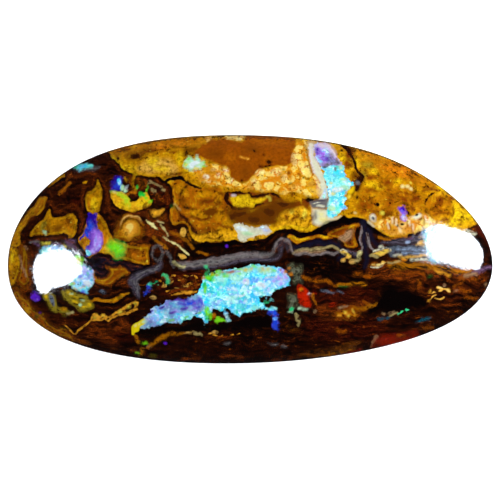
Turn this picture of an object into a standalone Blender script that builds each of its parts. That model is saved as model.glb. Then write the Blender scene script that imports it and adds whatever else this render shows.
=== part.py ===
"""A polished boulder opal, one piece of ironstone with its opal grown in: a long, lopsided oval
cabochon with a low dome, a rounded lower edge and a back that is ground flat to lie on.

Metres, +Z up. The origin is at the middle of the flat back, and +X runs along the stone's length.
"""

import math

import bmesh
import bpy
import numpy as np

MM = 0.001

# Driving dimensions
LENGTH = 38.8 * MM
WIDTH = 18.3 * MM
HEIGHT = 5.8 * MM
GIRDLE_HEIGHT = 1.4 * MM
BACK_INSET = 0.9 * MM

# The outline is an ellipse that swells or draws in by these shares, at bearings spaced evenly
# round the stone from +X towards +Y. The stone is fullest at its lower left and lower right.
OUTLINE_SHARES = (
    0.996, 0.963, 0.973, 0.999, 1.004, 1.037, 1.029, 0.989,
    0.994, 1.055, 1.099, 1.050, 0.999, 1.001, 1.040, 1.045,
)

# The dome's section: height falls from the crown as (1 - share ** CROWN) ** SHOULDER.
CROWN_POWER = 2.2
SHOULDER_POWER = 0.5

# Broad low swells that hand polishing leaves: x, y, radius and rise of each.
POLISH_SWELLS = (
    (-12.5 * MM, 0.5 * MM, 3.6 * MM, 0.10 * MM),
    (-4.0 * MM, 3.5 * MM, 5.0 * MM, -0.07 * MM),
    (6.5 * MM, 2.0 * MM, 5.5 * MM, 0.08 * MM),
    (3.0 * MM, -4.5 * MM, 4.5 * MM, -0.06 * MM),
    (13.0 * MM, -1.5 * MM, 4.0 * MM, 0.07 * MM),
)

# Fineness of the faceted solid, and of the outline when its size is taken
BEARINGS = 120
OUTLINE_SAMPLES = 1441
DOME_LEVELS = 22
EDGE_LEVELS = 5
BACK_LEVELS = 3

STONE_COLOUR = (0.33, 0.17, 0.04, 1.0)
STONE_ROUGHNESS = 0.12
FULL_TURN = 2.0 * math.pi


def clear_scene():
    """Takes every object out of the open file's scene."""
    for thing in list(bpy.data.objects):
        bpy.data.objects.remove(thing)


def outline_share(bearings):
    """The ellipse's swelling at each bearing: the smoothest wave through the measured shares."""
    count = len(OUTLINE_SHARES)
    harmonics = np.fft.rfft(OUTLINE_SHARES) / count
    share = np.full(bearings.shape, harmonics[0].real)
    for order, harmonic in enumerate(harmonics[1:], start=1):
        weight = 1.0 if 2 * order == count else 2.0
        share += weight * (harmonic * np.exp(1j * order * bearings)).real
    return share


def unit_outline(bearings):
    """The outline before it has a size: a unit circle swollen or drawn in at each bearing."""
    share = outline_share(bearings)
    return np.stack([share * np.cos(bearings), share * np.sin(bearings)], axis=1)


def outline_points(bearings):
    """The stone's widest outline seen from above, fitted to the length and width and centred."""
    whole = unit_outline(np.linspace(0.0, FULL_TURN, OUTLINE_SAMPLES))
    low, high = whole.min(axis=0), whole.max(axis=0)
    return (unit_outline(bearings) - (low + high) / 2.0) / (high - low) * np.array([LENGTH, WIDTH])


def section():
    """Share of the outline and height at each level, from the crown, over the girdle, to the back."""
    dome_share = np.sin(np.linspace(0.0, math.pi / 2.0, DOME_LEVELS + 1))
    dome_rise = (1.0 - dome_share**CROWN_POWER) ** SHOULDER_POWER
    dome_height = GIRDLE_HEIGHT + (HEIGHT - GIRDLE_HEIGHT) * dome_rise
    turn = np.linspace(0.0, math.pi / 2.0, EDGE_LEVELS + 1)[1:]
    back_share = 1.0 - BACK_INSET / (WIDTH / 2.0)
    edge_share = 1.0 - (1.0 - back_share) * (1.0 - np.cos(turn))
    edge_height = GIRDLE_HEIGHT * (1.0 - np.sin(turn))
    flat_share = np.linspace(back_share, 0.0, BACK_LEVELS + 1)[1:]
    share = np.concatenate([dome_share, edge_share, flat_share])
    height = np.concatenate([dome_height, edge_height, np.zeros(BACK_LEVELS)])
    return share, height


def polish_swell(places):
    """Rise of the hand-polished swells at places seen from above: a bell for each."""
    rise = np.zeros(len(places))
    for x, y, radius, height in POLISH_SWELLS:
        away = ((places[:, 0] - x) ** 2 + (places[:, 1] - y) ** 2) / radius**2
        rise += height * np.exp(-away)
    return rise


def stone_points(directions):
    """Moves the points of a unit sphere onto the stone: latitude picks the level of the section,
    and the bearing picks the point of the outline."""
    share, height = section()
    levels = len(share) - 1
    level = np.rint(np.arccos(np.clip(directions[:, 2], -1.0, 1.0)) / math.pi * levels).astype(int)
    bearings = np.arctan2(directions[:, 1], directions[:, 0])
    flat = outline_points(bearings) * share[level, None]
    on_dome = level <= DOME_LEVELS
    fade = np.where(on_dome, 1.0 - share[level] ** 2, 0.0)
    return np.column_stack([flat, height[level] + polish_swell(flat) * fade])


def stone_material():
    """Glossy brown ironstone."""
    material = bpy.data.materials.new("polished_ironstone")
    material.use_nodes = True
    surface = material.node_tree.nodes["Principled BSDF"]
    surface.inputs["Base Color"].default_value = STONE_COLOUR
    surface.inputs["Roughness"].default_value = STONE_ROUGHNESS
    surface.inputs["Metallic"].default_value = 0.0
    material.diffuse_color = STONE_COLOUR
    return material


def make_stone(collection):
    """The whole stone: a ball of level rings, pressed into the cabochon's shape."""
    mesh = bpy.data.meshes.new("boulder_opal")
    ball = bmesh.new()
    levels = len(section()[0]) - 1
    bmesh.ops.create_uvsphere(ball, u_segments=BEARINGS, v_segments=levels, radius=1.0)
    ball.to_mesh(mesh)
    ball.free()
    places = np.empty(len(mesh.vertices) * 3)
    mesh.vertices.foreach_get("co", places)
    mesh.vertices.foreach_set("co", stone_points(places.reshape(-1, 3)).ravel())
    mesh.update()
    mesh.shade_smooth()
    mesh.materials.append(stone_material())
    stone = bpy.data.objects.new("boulder_opal", mesh)
    collection.objects.link(stone)
    return stone


def main():
    clear_scene()
    collection = bpy.data.collections.new("boulder_opal")
    bpy.context.scene.collection.children.link(collection)
    make_stone(collection)


main()
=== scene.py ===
"""The looks of a polished boulder opal: a domed, mirror-glossed cabochon of golden and chocolate
ironstone, with veins and patches of opal that flash cyan, blue, green and violet.

The stone is one mesh. Its surface follows the same outline and section as the solid it stands for.
Its markings are areas, veins and spots placed in millimetres, seen from above with +X to the
right. Each group of markings is worked out at the mesh's points as a signed distance and a colour,
and the shader turns the distances into crisp, slightly ragged edges and adds the grain.
"""

import logging
import math
from dataclasses import dataclass, field
from enum import Enum
from typing import Sequence, Union

import bpy
import numpy as np
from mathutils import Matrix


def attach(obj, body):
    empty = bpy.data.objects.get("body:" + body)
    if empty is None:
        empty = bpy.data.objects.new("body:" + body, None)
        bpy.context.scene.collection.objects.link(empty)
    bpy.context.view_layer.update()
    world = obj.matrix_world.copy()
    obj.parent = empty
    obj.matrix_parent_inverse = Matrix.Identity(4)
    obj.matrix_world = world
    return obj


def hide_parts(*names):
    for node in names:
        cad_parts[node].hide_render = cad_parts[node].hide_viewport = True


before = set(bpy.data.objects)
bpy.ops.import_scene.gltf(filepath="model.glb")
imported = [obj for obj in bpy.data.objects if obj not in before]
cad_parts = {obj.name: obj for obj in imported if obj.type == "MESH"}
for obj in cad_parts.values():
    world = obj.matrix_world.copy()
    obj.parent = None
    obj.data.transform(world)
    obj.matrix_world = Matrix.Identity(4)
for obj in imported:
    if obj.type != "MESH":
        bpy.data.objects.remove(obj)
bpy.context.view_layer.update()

LOG = logging.getLogger("boulder_opal")
MM = 0.001
FULL_TURN = 2.0 * math.pi

Point = tuple[float, float]
Width = Union[float, tuple[float, ...]]

# Edge softness of markings, as the half width in millimetres over which an edge fades
CRISP = 0.04
SOFT = 0.12
HAZY = 0.3
MISTY = 0.6

# Each crisp marking lends its tint, as a trace that fades with distance, to the bare ground beside
# it, so that an edge which the shader's noise moves outwards finds its colour there.
TRACE = 1e-4
TRACE_REACH = 0.06
LEAST_FADE = 0.03
NO_COVER = 1e-9
SLIGHT_COVER = 1e-6

# Wavelength and amount in millimetres, and seed, of the shifts by which the listed lines wander
WANDERS = ((2.2, 0.07, 3), (0.8, 0.03, 4))


class Tone(Enum):
    """Colours of the stone as they look under the studio light, in display red, green and blue."""

    BLACK = (6, 1, 1)
    UMBER = (40, 9, 1)
    CHOCOLATE = (64, 20, 3)
    MAROON = (72, 16, 3)
    RUST = (124, 50, 6)
    BROWN = (110, 54, 2)
    SIENNA = (152, 72, 3)
    TOFFEE = (174, 90, 4)
    AMBER = (192, 111, 4)
    ORANGE = (220, 122, 10)
    HONEY = (232, 170, 66)
    SAFFRON = (246, 174, 22)
    BRIGHT_ORANGE = (246, 164, 40)
    OLIVE = (92, 78, 8)
    OLIVE_GREY = (88, 88, 62)
    MOSS = (160, 136, 30)
    OCHRE = (184, 108, 4)
    MUSTARD = (197, 126, 4)
    GOLD = (208, 139, 4)
    YELLOW = (246, 196, 16)
    LEMON = (255, 230, 70)
    BUTTER = (255, 236, 150)
    CANARY = (255, 224, 10)
    IVORY = (236, 228, 190)
    PEACH = (250, 192, 96)
    CREAM = (255, 216, 102)
    TAN = (184, 140, 96)
    STRAW = (208, 182, 112)
    ROSE_GREY = (164, 146, 140)
    GREY = (120, 112, 108)
    ASH = (126, 124, 100)
    APRICOT = (255, 186, 70)
    SLATE = (84, 74, 84)
    NAVY = (24, 20, 38)
    STEEL = (110, 120, 134)
    PINK_WHITE = (244, 222, 220)
    WHITE = (246, 252, 250)
    ICE = (192, 214, 246)
    CYAN = (50, 232, 250)
    AQUA = (120, 250, 226)
    TURQUOISE = (24, 222, 214)
    MINT = (176, 255, 216)
    SAGE = (200, 222, 176)
    PALE_GREEN = (200, 244, 180)
    GREEN = (40, 210, 60)
    DEEP_GREEN = (16, 84, 24)
    EMERALD = (8, 214, 112)
    LIME = (140, 246, 30)
    CHARTREUSE = (206, 236, 34)
    TEAL = (12, 74, 88)
    SKY = (84, 176, 250)
    BLUE = (30, 84, 240)
    INDIGO = (40, 8, 150)
    VIOLET = (124, 44, 240)
    PERIWINKLE = (124, 136, 236)
    HEATHER = (128, 128, 186)
    LAVENDER = (184, 176, 246)
    LILAC = (214, 160, 250)
    PLUM = (110, 76, 104)
    MAGENTA = (192, 112, 246)
    RED = (204, 34, 2)
    BRICK = (150, 28, 2)


def linear(tone: Tone) -> np.ndarray:
    """Turns a display colour into the linear light that shaders work in.

    Args:
        tone: A colour of the stone.

    Returns:
        Red, green and blue shares of reflected light.
    """
    share = np.array(tone.value, dtype=float) / 255.0
    return np.where(share <= 0.04045, share / 12.92, ((share + 0.055) / 1.055) ** 2.4)


def rounded_line(points: Sequence[Point], closed: bool, steps: int = 5) -> np.ndarray:
    """Rounds a chain of points: between two of them runs the cubic that leaves each point along
    the chord of its two neighbours.

    Args:
        points: The chain, in millimetres.
        closed: Whether the chain returns to its start.
        steps: Pieces between two points.

    Returns:
        Points along the rounded line, one in each row.
    """
    chain = np.array(points, dtype=float)
    if closed:
        before, after, beyond = np.roll(chain, 1, 0), np.roll(chain, -1, 0), np.roll(chain, -2, 0)
    else:
        padded = np.vstack([chain[:1], chain, chain[-1:]])
        before, chain, after, beyond = padded[:-3], padded[1:-2], padded[2:-1], padded[3:]
    share = (np.arange(steps) / steps)[None, :, None]
    before, start, after, beyond = (side[:, None, :] for side in (before, chain, after, beyond))
    line = 0.5 * (
        2.0 * start
        + (after - before) * share
        + (2.0 * before - 5.0 * start + 4.0 * after - beyond) * share**2
        + (3.0 * (start - after) + beyond - before) * share**3
    )
    line = line.reshape(-1, 2)
    return np.vstack([line, line[:1] if closed else np.array(points[-1:], dtype=float)])


def line_gap(places: np.ndarray, line: np.ndarray, half_width: np.ndarray) -> np.ndarray:
    """Distance from places to a line less the line's half width there, the least over its pieces.

    Args:
        places: Points seen from above, in millimetres.
        line: Points along the line.
        half_width: Half the line's width at each of its points.

    Returns:
        The distance of each place, negative inside the line's width.
    """
    gap = np.full(len(places), np.inf)
    for start, end, near, far in zip(line[:-1], line[1:], half_width[:-1], half_width[1:]):
        run = end - start
        share = np.clip((places - start) @ run / max(run @ run, 1e-12), 0.0, 1.0)
        away = np.linalg.norm(places - start - share[:, None] * run, axis=1)
        gap = np.minimum(gap, away - near - (far - near) * share)
    return gap


def is_inside(places: np.ndarray, line: np.ndarray) -> np.ndarray:
    """Tells which places a closed line surrounds: those from which a ray crosses it an odd
    number of times.

    Args:
        places: Points seen from above, in millimetres.
        line: Points along the closed line, the last equal to the first.

    Returns:
        True for each place inside.
    """
    inside = np.zeros(len(places), dtype=bool)
    for start, end in zip(line[:-1], line[1:]):
        spans = (start[1] > places[:, 1]) != (end[1] > places[:, 1])
        if spans.any():
            rise = end[1] - start[1]
            cross = start[0] + (places[:, 1] - start[1]) * (end[0] - start[0]) / rise
            inside ^= spans & (places[:, 0] < cross)
    return inside


@dataclass(frozen=True)
class Patch:
    """An area of one tone inside a rounded closed line.

    Args:
        tone: Its colour.
        points: The corners that the line passes through, in millimetres.
        edge: How softly its edge fades.
    """

    tone: Tone
    points: tuple[Point, ...]
    edge: float

    def gap(self, places: np.ndarray) -> np.ndarray:
        """Signed distance of places to the area's edge, negative inside."""
        line = rounded_line(self.points, closed=True)
        away = line_gap(places, line, np.zeros(len(line)))
        return np.where(is_inside(places, line), -away, away)

    def reach(self) -> np.ndarray:
        """Lowest and highest corner of the area."""
        chain = np.array(self.points)
        return np.array([chain.min(axis=0), chain.max(axis=0)])


@dataclass(frozen=True)
class Vein:
    """A line of one tone, whose width may change along it.

    Args:
        tone: Its colour.
        points: The points that it passes through, in millimetres.
        width: Its width all along, or at each point.
        edge: How softly its edge fades.
    """

    tone: Tone
    points: tuple[Point, ...]
    width: Width
    edge: float

    def gap(self, places: np.ndarray) -> np.ndarray:
        """Signed distance of places to the vein's edge, negative inside, with the widths spread
        evenly along it.

        Args:
            places: Points seen from above, in millimetres.

        Returns:
            The distance of each.
        """
        line = rounded_line(self.points, closed=False)
        widths = np.broadcast_to(np.array(self.width, dtype=float), (len(self.points),))
        along = np.linspace(0.0, len(self.points) - 1.0, len(line))
        half_width = np.interp(along, np.arange(len(self.points)), widths) / 2.0
        return line_gap(places, line, half_width)

    def reach(self) -> np.ndarray:
        """Lowest and highest corner of the vein."""
        chain = np.array(self.points)
        half_width = float(np.max(self.width)) / 2.0
        return np.array([chain.min(axis=0) - half_width, chain.max(axis=0) + half_width])


@dataclass(frozen=True)
class Spot:
    """An oval of one tone.

    Args:
        tone: Its colour.
        centre: Its middle, in millimetres.
        size: Its length and width.
        turn: Degrees that its length is turned from +X towards +Y.
        edge: How softly its edge fades.
    """

    tone: Tone
    centre: Point
    size: Point
    turn: float
    edge: float

    def gap(self, places: np.ndarray) -> np.ndarray:
        """Near distance of places to the oval's edge, negative inside: k (k - 1) / m, where k is
        the distance from the middle in radii and m the same over the squared radii.

        Args:
            places: Points seen from above, in millimetres.

        Returns:
            The distance of each.
        """
        angle = math.radians(self.turn)
        along = np.array([math.cos(angle), math.sin(angle)])
        across = np.array([-along[1], along[0]])
        offset = places - np.array(self.centre)
        local = np.stack([offset @ along, offset @ across], axis=1)
        radii = np.array(self.size) / 2.0
        shares = np.linalg.norm(local / radii, axis=1)
        steepness = np.maximum(np.linalg.norm(local / radii**2, axis=1), 1e-6)
        return shares * (shares - 1.0) / steepness - 1e-4

    def reach(self) -> np.ndarray:
        """Lowest and highest corner of the oval's surroundings."""
        half = max(self.size) / 2.0
        return np.array([np.array(self.centre) - half, np.array(self.centre) + half])


Marking = Union[Patch, Vein, Spot]


def wobble(places: np.ndarray, wavelength: float, amount: float, seed: int) -> np.ndarray:
    """Shifts places a little, so that the listed lines wander: the sum of sine waves in random
    directions, of wavelengths near the one given.

    Args:
        places: Points seen from above, in millimetres.
        wavelength: Middle wavelength of the wandering.
        amount: How far it shifts a place, about.
        seed: Picks the waves.

    Returns:
        The shifted places.
    """
    draw = np.random.default_rng(seed)
    waves = 7
    shift = np.zeros_like(places)
    for axis in range(2):
        for _ in range(waves):
            bearing = draw.uniform(0.0, FULL_TURN)
            frequency = FULL_TURN / (wavelength * draw.uniform(0.6, 1.7))
            phase = draw.uniform(0.0, FULL_TURN)
            run = places @ np.array([math.cos(bearing), math.sin(bearing)])
            shift[:, axis] += np.sin(run * frequency + phase)
    return places + shift * amount / math.sqrt(waves)


def near_places(marking: Marking, places: np.ndarray, margin: float) -> np.ndarray:
    """Finds the places within a margin of a marking's box.

    Args:
        marking: The marking.
        places: Points seen from above, in millimetres.
        margin: The margin.

    Returns:
        Their indices.
    """
    low, high = marking.reach()
    inside = np.all((places > low - margin) & (places < high + margin), axis=1)
    return np.flatnonzero(inside)


def lay_over(tint: np.ndarray, cover: np.ndarray, near: np.ndarray, colour: np.ndarray,
             share: np.ndarray) -> None:
    """Lays a colour over the tints of some places, which are mixed by how much of each shows.

    Args:
        tint: Tint of every place, changed here.
        cover: How far every place is covered so far, changed here.
        near: Indices of the places that the colour may reach.
        colour: The colour.
        share: How far it covers each of them.
    """
    kept = cover[near] * (1.0 - share)
    mixed = tint[near] * kept[:, None] + colour[None, :] * share[:, None]
    tint[near] = mixed / (kept + share)[:, None]
    cover[near] = kept + share


@dataclass
class Cut:
    """A group of crisp markings, painted as a distance and a tint at each point of the mesh.

    Args:
        name: Start of the attributes' names.
        markings: The markings, each laid over those before it.
        margin: How far outside its edge a marking is worked out.
    """

    name: str
    markings: Sequence[Marking]
    margin: float = 0.5

    def paint(self, places: np.ndarray) -> tuple[np.ndarray, np.ndarray]:
        """Works out the group: the distance is the least over its markings, and the tint is laid
        over by each marking in turn, as far as the marking covers the place.

        Args:
            places: Points seen from above, in millimetres.

        Returns:
            The signed distances, and red, green, blue and edge softness.
        """
        gap = np.full(len(places), self.margin)
        cover = np.full(len(places), NO_COVER)
        tint = np.tile(np.append(linear(Tone.BROWN), CRISP), (len(places), 1))
        for marking in self.markings:
            near = near_places(marking, places, self.margin)
            away = marking.gap(places[near])
            gap[near] = np.minimum(gap[near], away)
            fade = max(marking.edge * 0.5, LEAST_FADE)
            share = np.clip(0.5 - away / (2.0 * fade), 0.0, 1.0)
            share = np.maximum(share, TRACE * np.exp(-np.maximum(away, 0.0) / TRACE_REACH))
            lay_over(tint, cover, near, np.append(linear(marking.tone), marking.edge), share)
        return gap, tint


@dataclass
class Wash:
    """A group of soft markings, painted as a tint and how strongly it covers each point.

    Args:
        name: Start of the attribute's name.
        markings: The markings, each laid over those before it.
    """

    name: str
    markings: Sequence[Marking]

    def paint(self, places: np.ndarray) -> np.ndarray:
        """Works out the group: each marking covers as a smooth step across its soft edge.

        Args:
            places: Points seen from above, in millimetres.

        Returns:
            Red, green, blue and cover at each place.
        """
        cover = np.full(len(places), SLIGHT_COVER)
        tint = np.tile(linear(Tone.BROWN), (len(places), 1))
        for marking in self.markings:
            near = near_places(marking, places, 2.0 * marking.edge)
            away = marking.gap(places[near])
            share = np.clip(0.5 - away / (2.0 * marking.edge), 0.0, 1.0)
            share = share * share * (3.0 - 2.0 * share)
            lay_over(tint, cover, near, linear(marking.tone), share)
        return np.column_stack([tint, np.clip(cover, 0.0, 1.0)])


def pairs(numbers: tuple[float, ...]) -> tuple[Point, ...]:
    """Points from their coordinates in a row: x, y, x, y and so on."""
    return tuple(zip(numbers[::2], numbers[1::2]))


def areas(tone: Tone, edge: float, *outlines: tuple[float, ...]) -> list[Marking]:
    """Areas of one tone, each by the coordinates of its outline."""
    return [Patch(tone, pairs(outline), edge) for outline in outlines]


def veins(tone: Tone, edge: float, width: Width, *lines: tuple[float, ...]) -> list[Marking]:
    """Lines of one tone and width, each by the coordinates of its points."""
    return [Vein(tone, pairs(line), width, edge) for line in lines]


def spots(tone: Tone, edge: float, *ovals: tuple[float, ...]) -> list[Marking]:
    """Ovals of one tone: x, y, length, width and, where one is turned, its turn in degrees."""
    return [Spot(tone, oval[:2], oval[2:4], oval[4] if len(oval) > 4 else 0.0, edge) for oval in ovals]


def group(*parts: list[Marking]) -> list[Marking]:
    """Joins markings into one list, in the order in which they are laid over each other."""
    return [marking for part in parts for marking in part]


# The ironstone under everything: soft zones of brown, rust, maroon, olive and black, and a black patch of
# painted shade along the steep rim at the lower right.
GROUND_ZONES_AND_PAINTED_RIM_SHADE = group(
    areas(Tone.CHOCOLATE, MISTY, (-19.6, 2, -17, 5, -14, 7, -11, 8, -9, 5.5, -7, 5.4, -5.9, 3, -6, 1,
        -8, -0.4, -12, -0.8, -16, -0.8, -19.8, -1)),
    areas(Tone.CHOCOLATE, HAZY, (-18.9, -2.8, -17.6, -2.6, -17, -4.2, -15.8, -5, -13.4, -5, -12.6, -5.6,
        -10, -5.4, -9.2, -6.2, -9.4, -7.4, -12, -7.6, -15.5, -6.7, -18, -4.9)),
    areas(Tone.SIENNA, HAZY, (-19.6, 1.8, -18.5, 1.6, -18.2, 0, -17.6, -0.8, -17.4, -2.9, -18.3, -3.4,
        -19.3, -3)),
    spots(Tone.RUST, HAZY, (-12.3, -6.4, 1.8, 1, -20), (-10.4, -6.2, 2, 0.9, 10),
        (-11.2, -7.2, 1.6, 0.5, -10)),
    spots(Tone.MAROON, HAZY, (-17.9, -4, 1.8, 1.4), (-13.6, 3.6, 1.6, 1.2, 30), (-9.8, -6.9, 2.4, 0.8)),
    spots(Tone.RUST, HAZY, (-11.9, -6.5, 1.1, 0.8), (-10.6, -6.1, 1.6, 0.7), (-17.3, -0.6, 1.2, 0.7),
        (-13.2, -2.9, 0.6, 1.4), (-9.9, -2.6, 0.8, 0.9), (5.9, -4.8, 1, 1.5, 20), (10.5, -5.8, 0.9, 0.4)),
    veins(Tone.MAROON, HAZY, 0.8, (-8.6, 5.9, -7.7, 5.2, -7, 4.6, -6.6, 3.8, -6.5, 2.8)),
    spots(Tone.BROWN, HAZY, (-8.6, 5.2, 1.1, 0.7, -30), (-7.4, 2.7, 1.6, 0.9)),
    areas(Tone.RUST, HAZY, (-8.2, 2.4, -7, 2.2, -5.6, 1.6, -5.4, 0.5, -6.4, 0.4, -7.4, 0.8, -8.4, 1.2)),
    areas(Tone.OCHRE, SOFT, (-4.8, 1.8, -4, 1.6, -3.6, 0.8, -4.4, 0.5, -5, 1)),
    areas(Tone.MAROON, HAZY, (-7.4, -2.4, -6, -2, -4.6, -1.8, -3.4, -1.6, -3.3, -2.3, -4.2, -3.3,
        -5.6, -3.5, -7, -3.5)),
    areas(Tone.NAVY, SOFT, (-13.2, -0.7, -12, -0.5, -10.6, -0.9, -9.6, -1.1, -8.2, -1.4, -8.8, -1.9,
        -9.7, -1.9, -10.6, -1.6, -11.2, -2.4, -12.2, -2, -12.9, -1.5)),
    areas(Tone.BLACK, SOFT, (-9.2, -6.5, -7.6, -6.3, -6, -6.1, -4, -5.6, -2.8, -6, 0, -5.4, 1.6, -5.2,
        1.4, -6.3, -3, -6.5, -6, -6.5, -8.6, -7.1), (-5, 0.2, -2, 0.3, 1.4, 0.4, 1.6, -0.1, -1, -0.2,
        -4, -0.7, -5.5, -0.9)),
    areas(Tone.BLACK, HAZY, (3.2, -0.7, 6.4, -0.6, 9, -1, 9.4, -1.6, 8, -1.9, 6.2, -2.3, 4.6, -2.1,
        4.2, -1.4)),
    spots(Tone.BLACK, HAZY, (5.5, -3, 1.9, 0.8, -8)),
    areas(Tone.MAROON, MISTY, (4.8, -2.9, 7.4, -3, 9.4, -3, 9.7, -4, 8.6, -4.6, 6.6, -4.6, 5.2, -4.4)),
    areas(Tone.RUST, HAZY, (5.4, -4.4, 6.4, -4.9, 7, -4.5, 9.2, -4.3, 9.6, -4.7, 8.4, -5.3, 6.8, -5.6,
        5.6, -5.4)),
    spots(Tone.BRICK, SOFT, (6.5, -4.45, 0.5, 0.5), (5.1, -3.4, 0.5, 0.5)),
    areas(Tone.MAROON, MISTY, (4.4, -5.6, 7.6, -5.6, 10.6, -5.8, 10.4, -6.8, 8, -7.2, 5, -6.9)),
    veins(Tone.SIENNA, SOFT, 0.3, (8.9, -2.2, 9.4, -2.15, 10, -1.9, 10.7, -1.6), (8.1, -2, 8.4, -1.9,
        8.8, -2), (6.9, -6.4, 7.3, -6.5, 7.6, -6.45)),
    veins(Tone.OCHRE, SOFT, 0.34, (7, -2.85, 7.7, -2.7, 8.4, -2.65, 9.1, -2.85), (9.5, -1.4, 10.4, -1.2,
        11.4, -1.3, 12.6, -1.45)),
    areas(Tone.RUST, HAZY, (9.4, -1.3, 11.2, -0.9, 14, -0.9, 16, -1.3, 18.4, -1.8, 17.6, -2.6, 14.6, -2.5,
        12, -2.5, 10, -2.2)),
    areas(Tone.OCHRE, SOFT, (10.8, -1, 12.2, -0.9, 14.2, -1.1, 14.1, -1.6, 12.6, -1.5, 11.2, -1.6)),
    areas(Tone.AMBER, SOFT, (14.2, -1, 15.2, -1.25, 16.2, -1.5, 17.6, -1.7, 17.2, -2, 15.6, -1.75,
        14.4, -1.5)),
    spots(Tone.DEEP_GREEN, SOFT, (14.2, -2.15, 0.5, 0.3), (7.4, -2.9, 0.8, 0.24)),
    areas(Tone.CHOCOLATE, MISTY, (13, -2.7, 16, -2.9, 18.4, -2.9, 18, -4.2, 15.6, -4.6, 13.4, -4.2)),
    spots(Tone.RUST, HAZY, (13.2, -3, 0.9, 0.8), (16.6, -3.3, 1.2, 0.5), (18.4, -2.4, 0.9, 0.5)),
    # Painted shade: black along the steep rim at the lower right, where the edge turns away.
    spots(Tone.BLACK, HAZY, (17.2, -4.1, 1.8, 0.8, 25)),
    veins(Tone.BROWN, SOFT, (0.3, 0.6, 0.6, 0.6, 0.5, 0.2), (4, -8.5, 5.2, -8.35, 6.3, -8.25, 7.2, -7.95,
        8, -7.65, 8.7, -7.4)),
    veins(Tone.OCHRE, SOFT, (0.05, 0.2, 0.16, 0.05), (5.4, -8.5, 6.4, -8.4, 7.4, -8.2, 8.4, -7.9)),
    veins(Tone.BRICK, SOFT, 0.3, (6.9, -8.55, 7.8, -8.35, 8.8, -8.1)),
    veins(Tone.RUST, SOFT, 0.22, (-3.5, -7, -2.6, -6.95, -1.5, -7), (15.4, -4.5, 16.2, -4.4, 16.8, -4.45),
        (14.7, -4.7, 15.3, -4.65), (-4.6, -8.6, -4, -8.7), (-5.4, -8.7, -4.9, -8.8), (-2.2, -8.6,
        -1.4, -8.5, -0.6, -8.6), (-9.4, -8.1, -8.4, -8.3)),
    spots(Tone.BROWN, SOFT, (3.5, -6.4, 0.9, 0.3), (3, -6.1, 0.4, 0.2)),
    spots(Tone.RUST, SOFT, (3.5, -8.7, 0.9, 0.3), (2.2, -8.9, 0.9, 0.3)),
    veins(Tone.SIENNA, SOFT, (0.6, 0.6, 0.6, 0.6, 0.5, 0.4, 0.2), (-18.9, -3.4, -18.2, -4.5, -17.2, -5.4,
        -16.5, -6, -15.5, -6.6, -14, -7.2, -12.8, -7.6)),
    areas(Tone.SIENNA, SOFT, (17.2, 1.6, 17.5, 1.95, 18.1, 2, 18.2, 1.6, 17.8, 1.5)),
)

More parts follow.
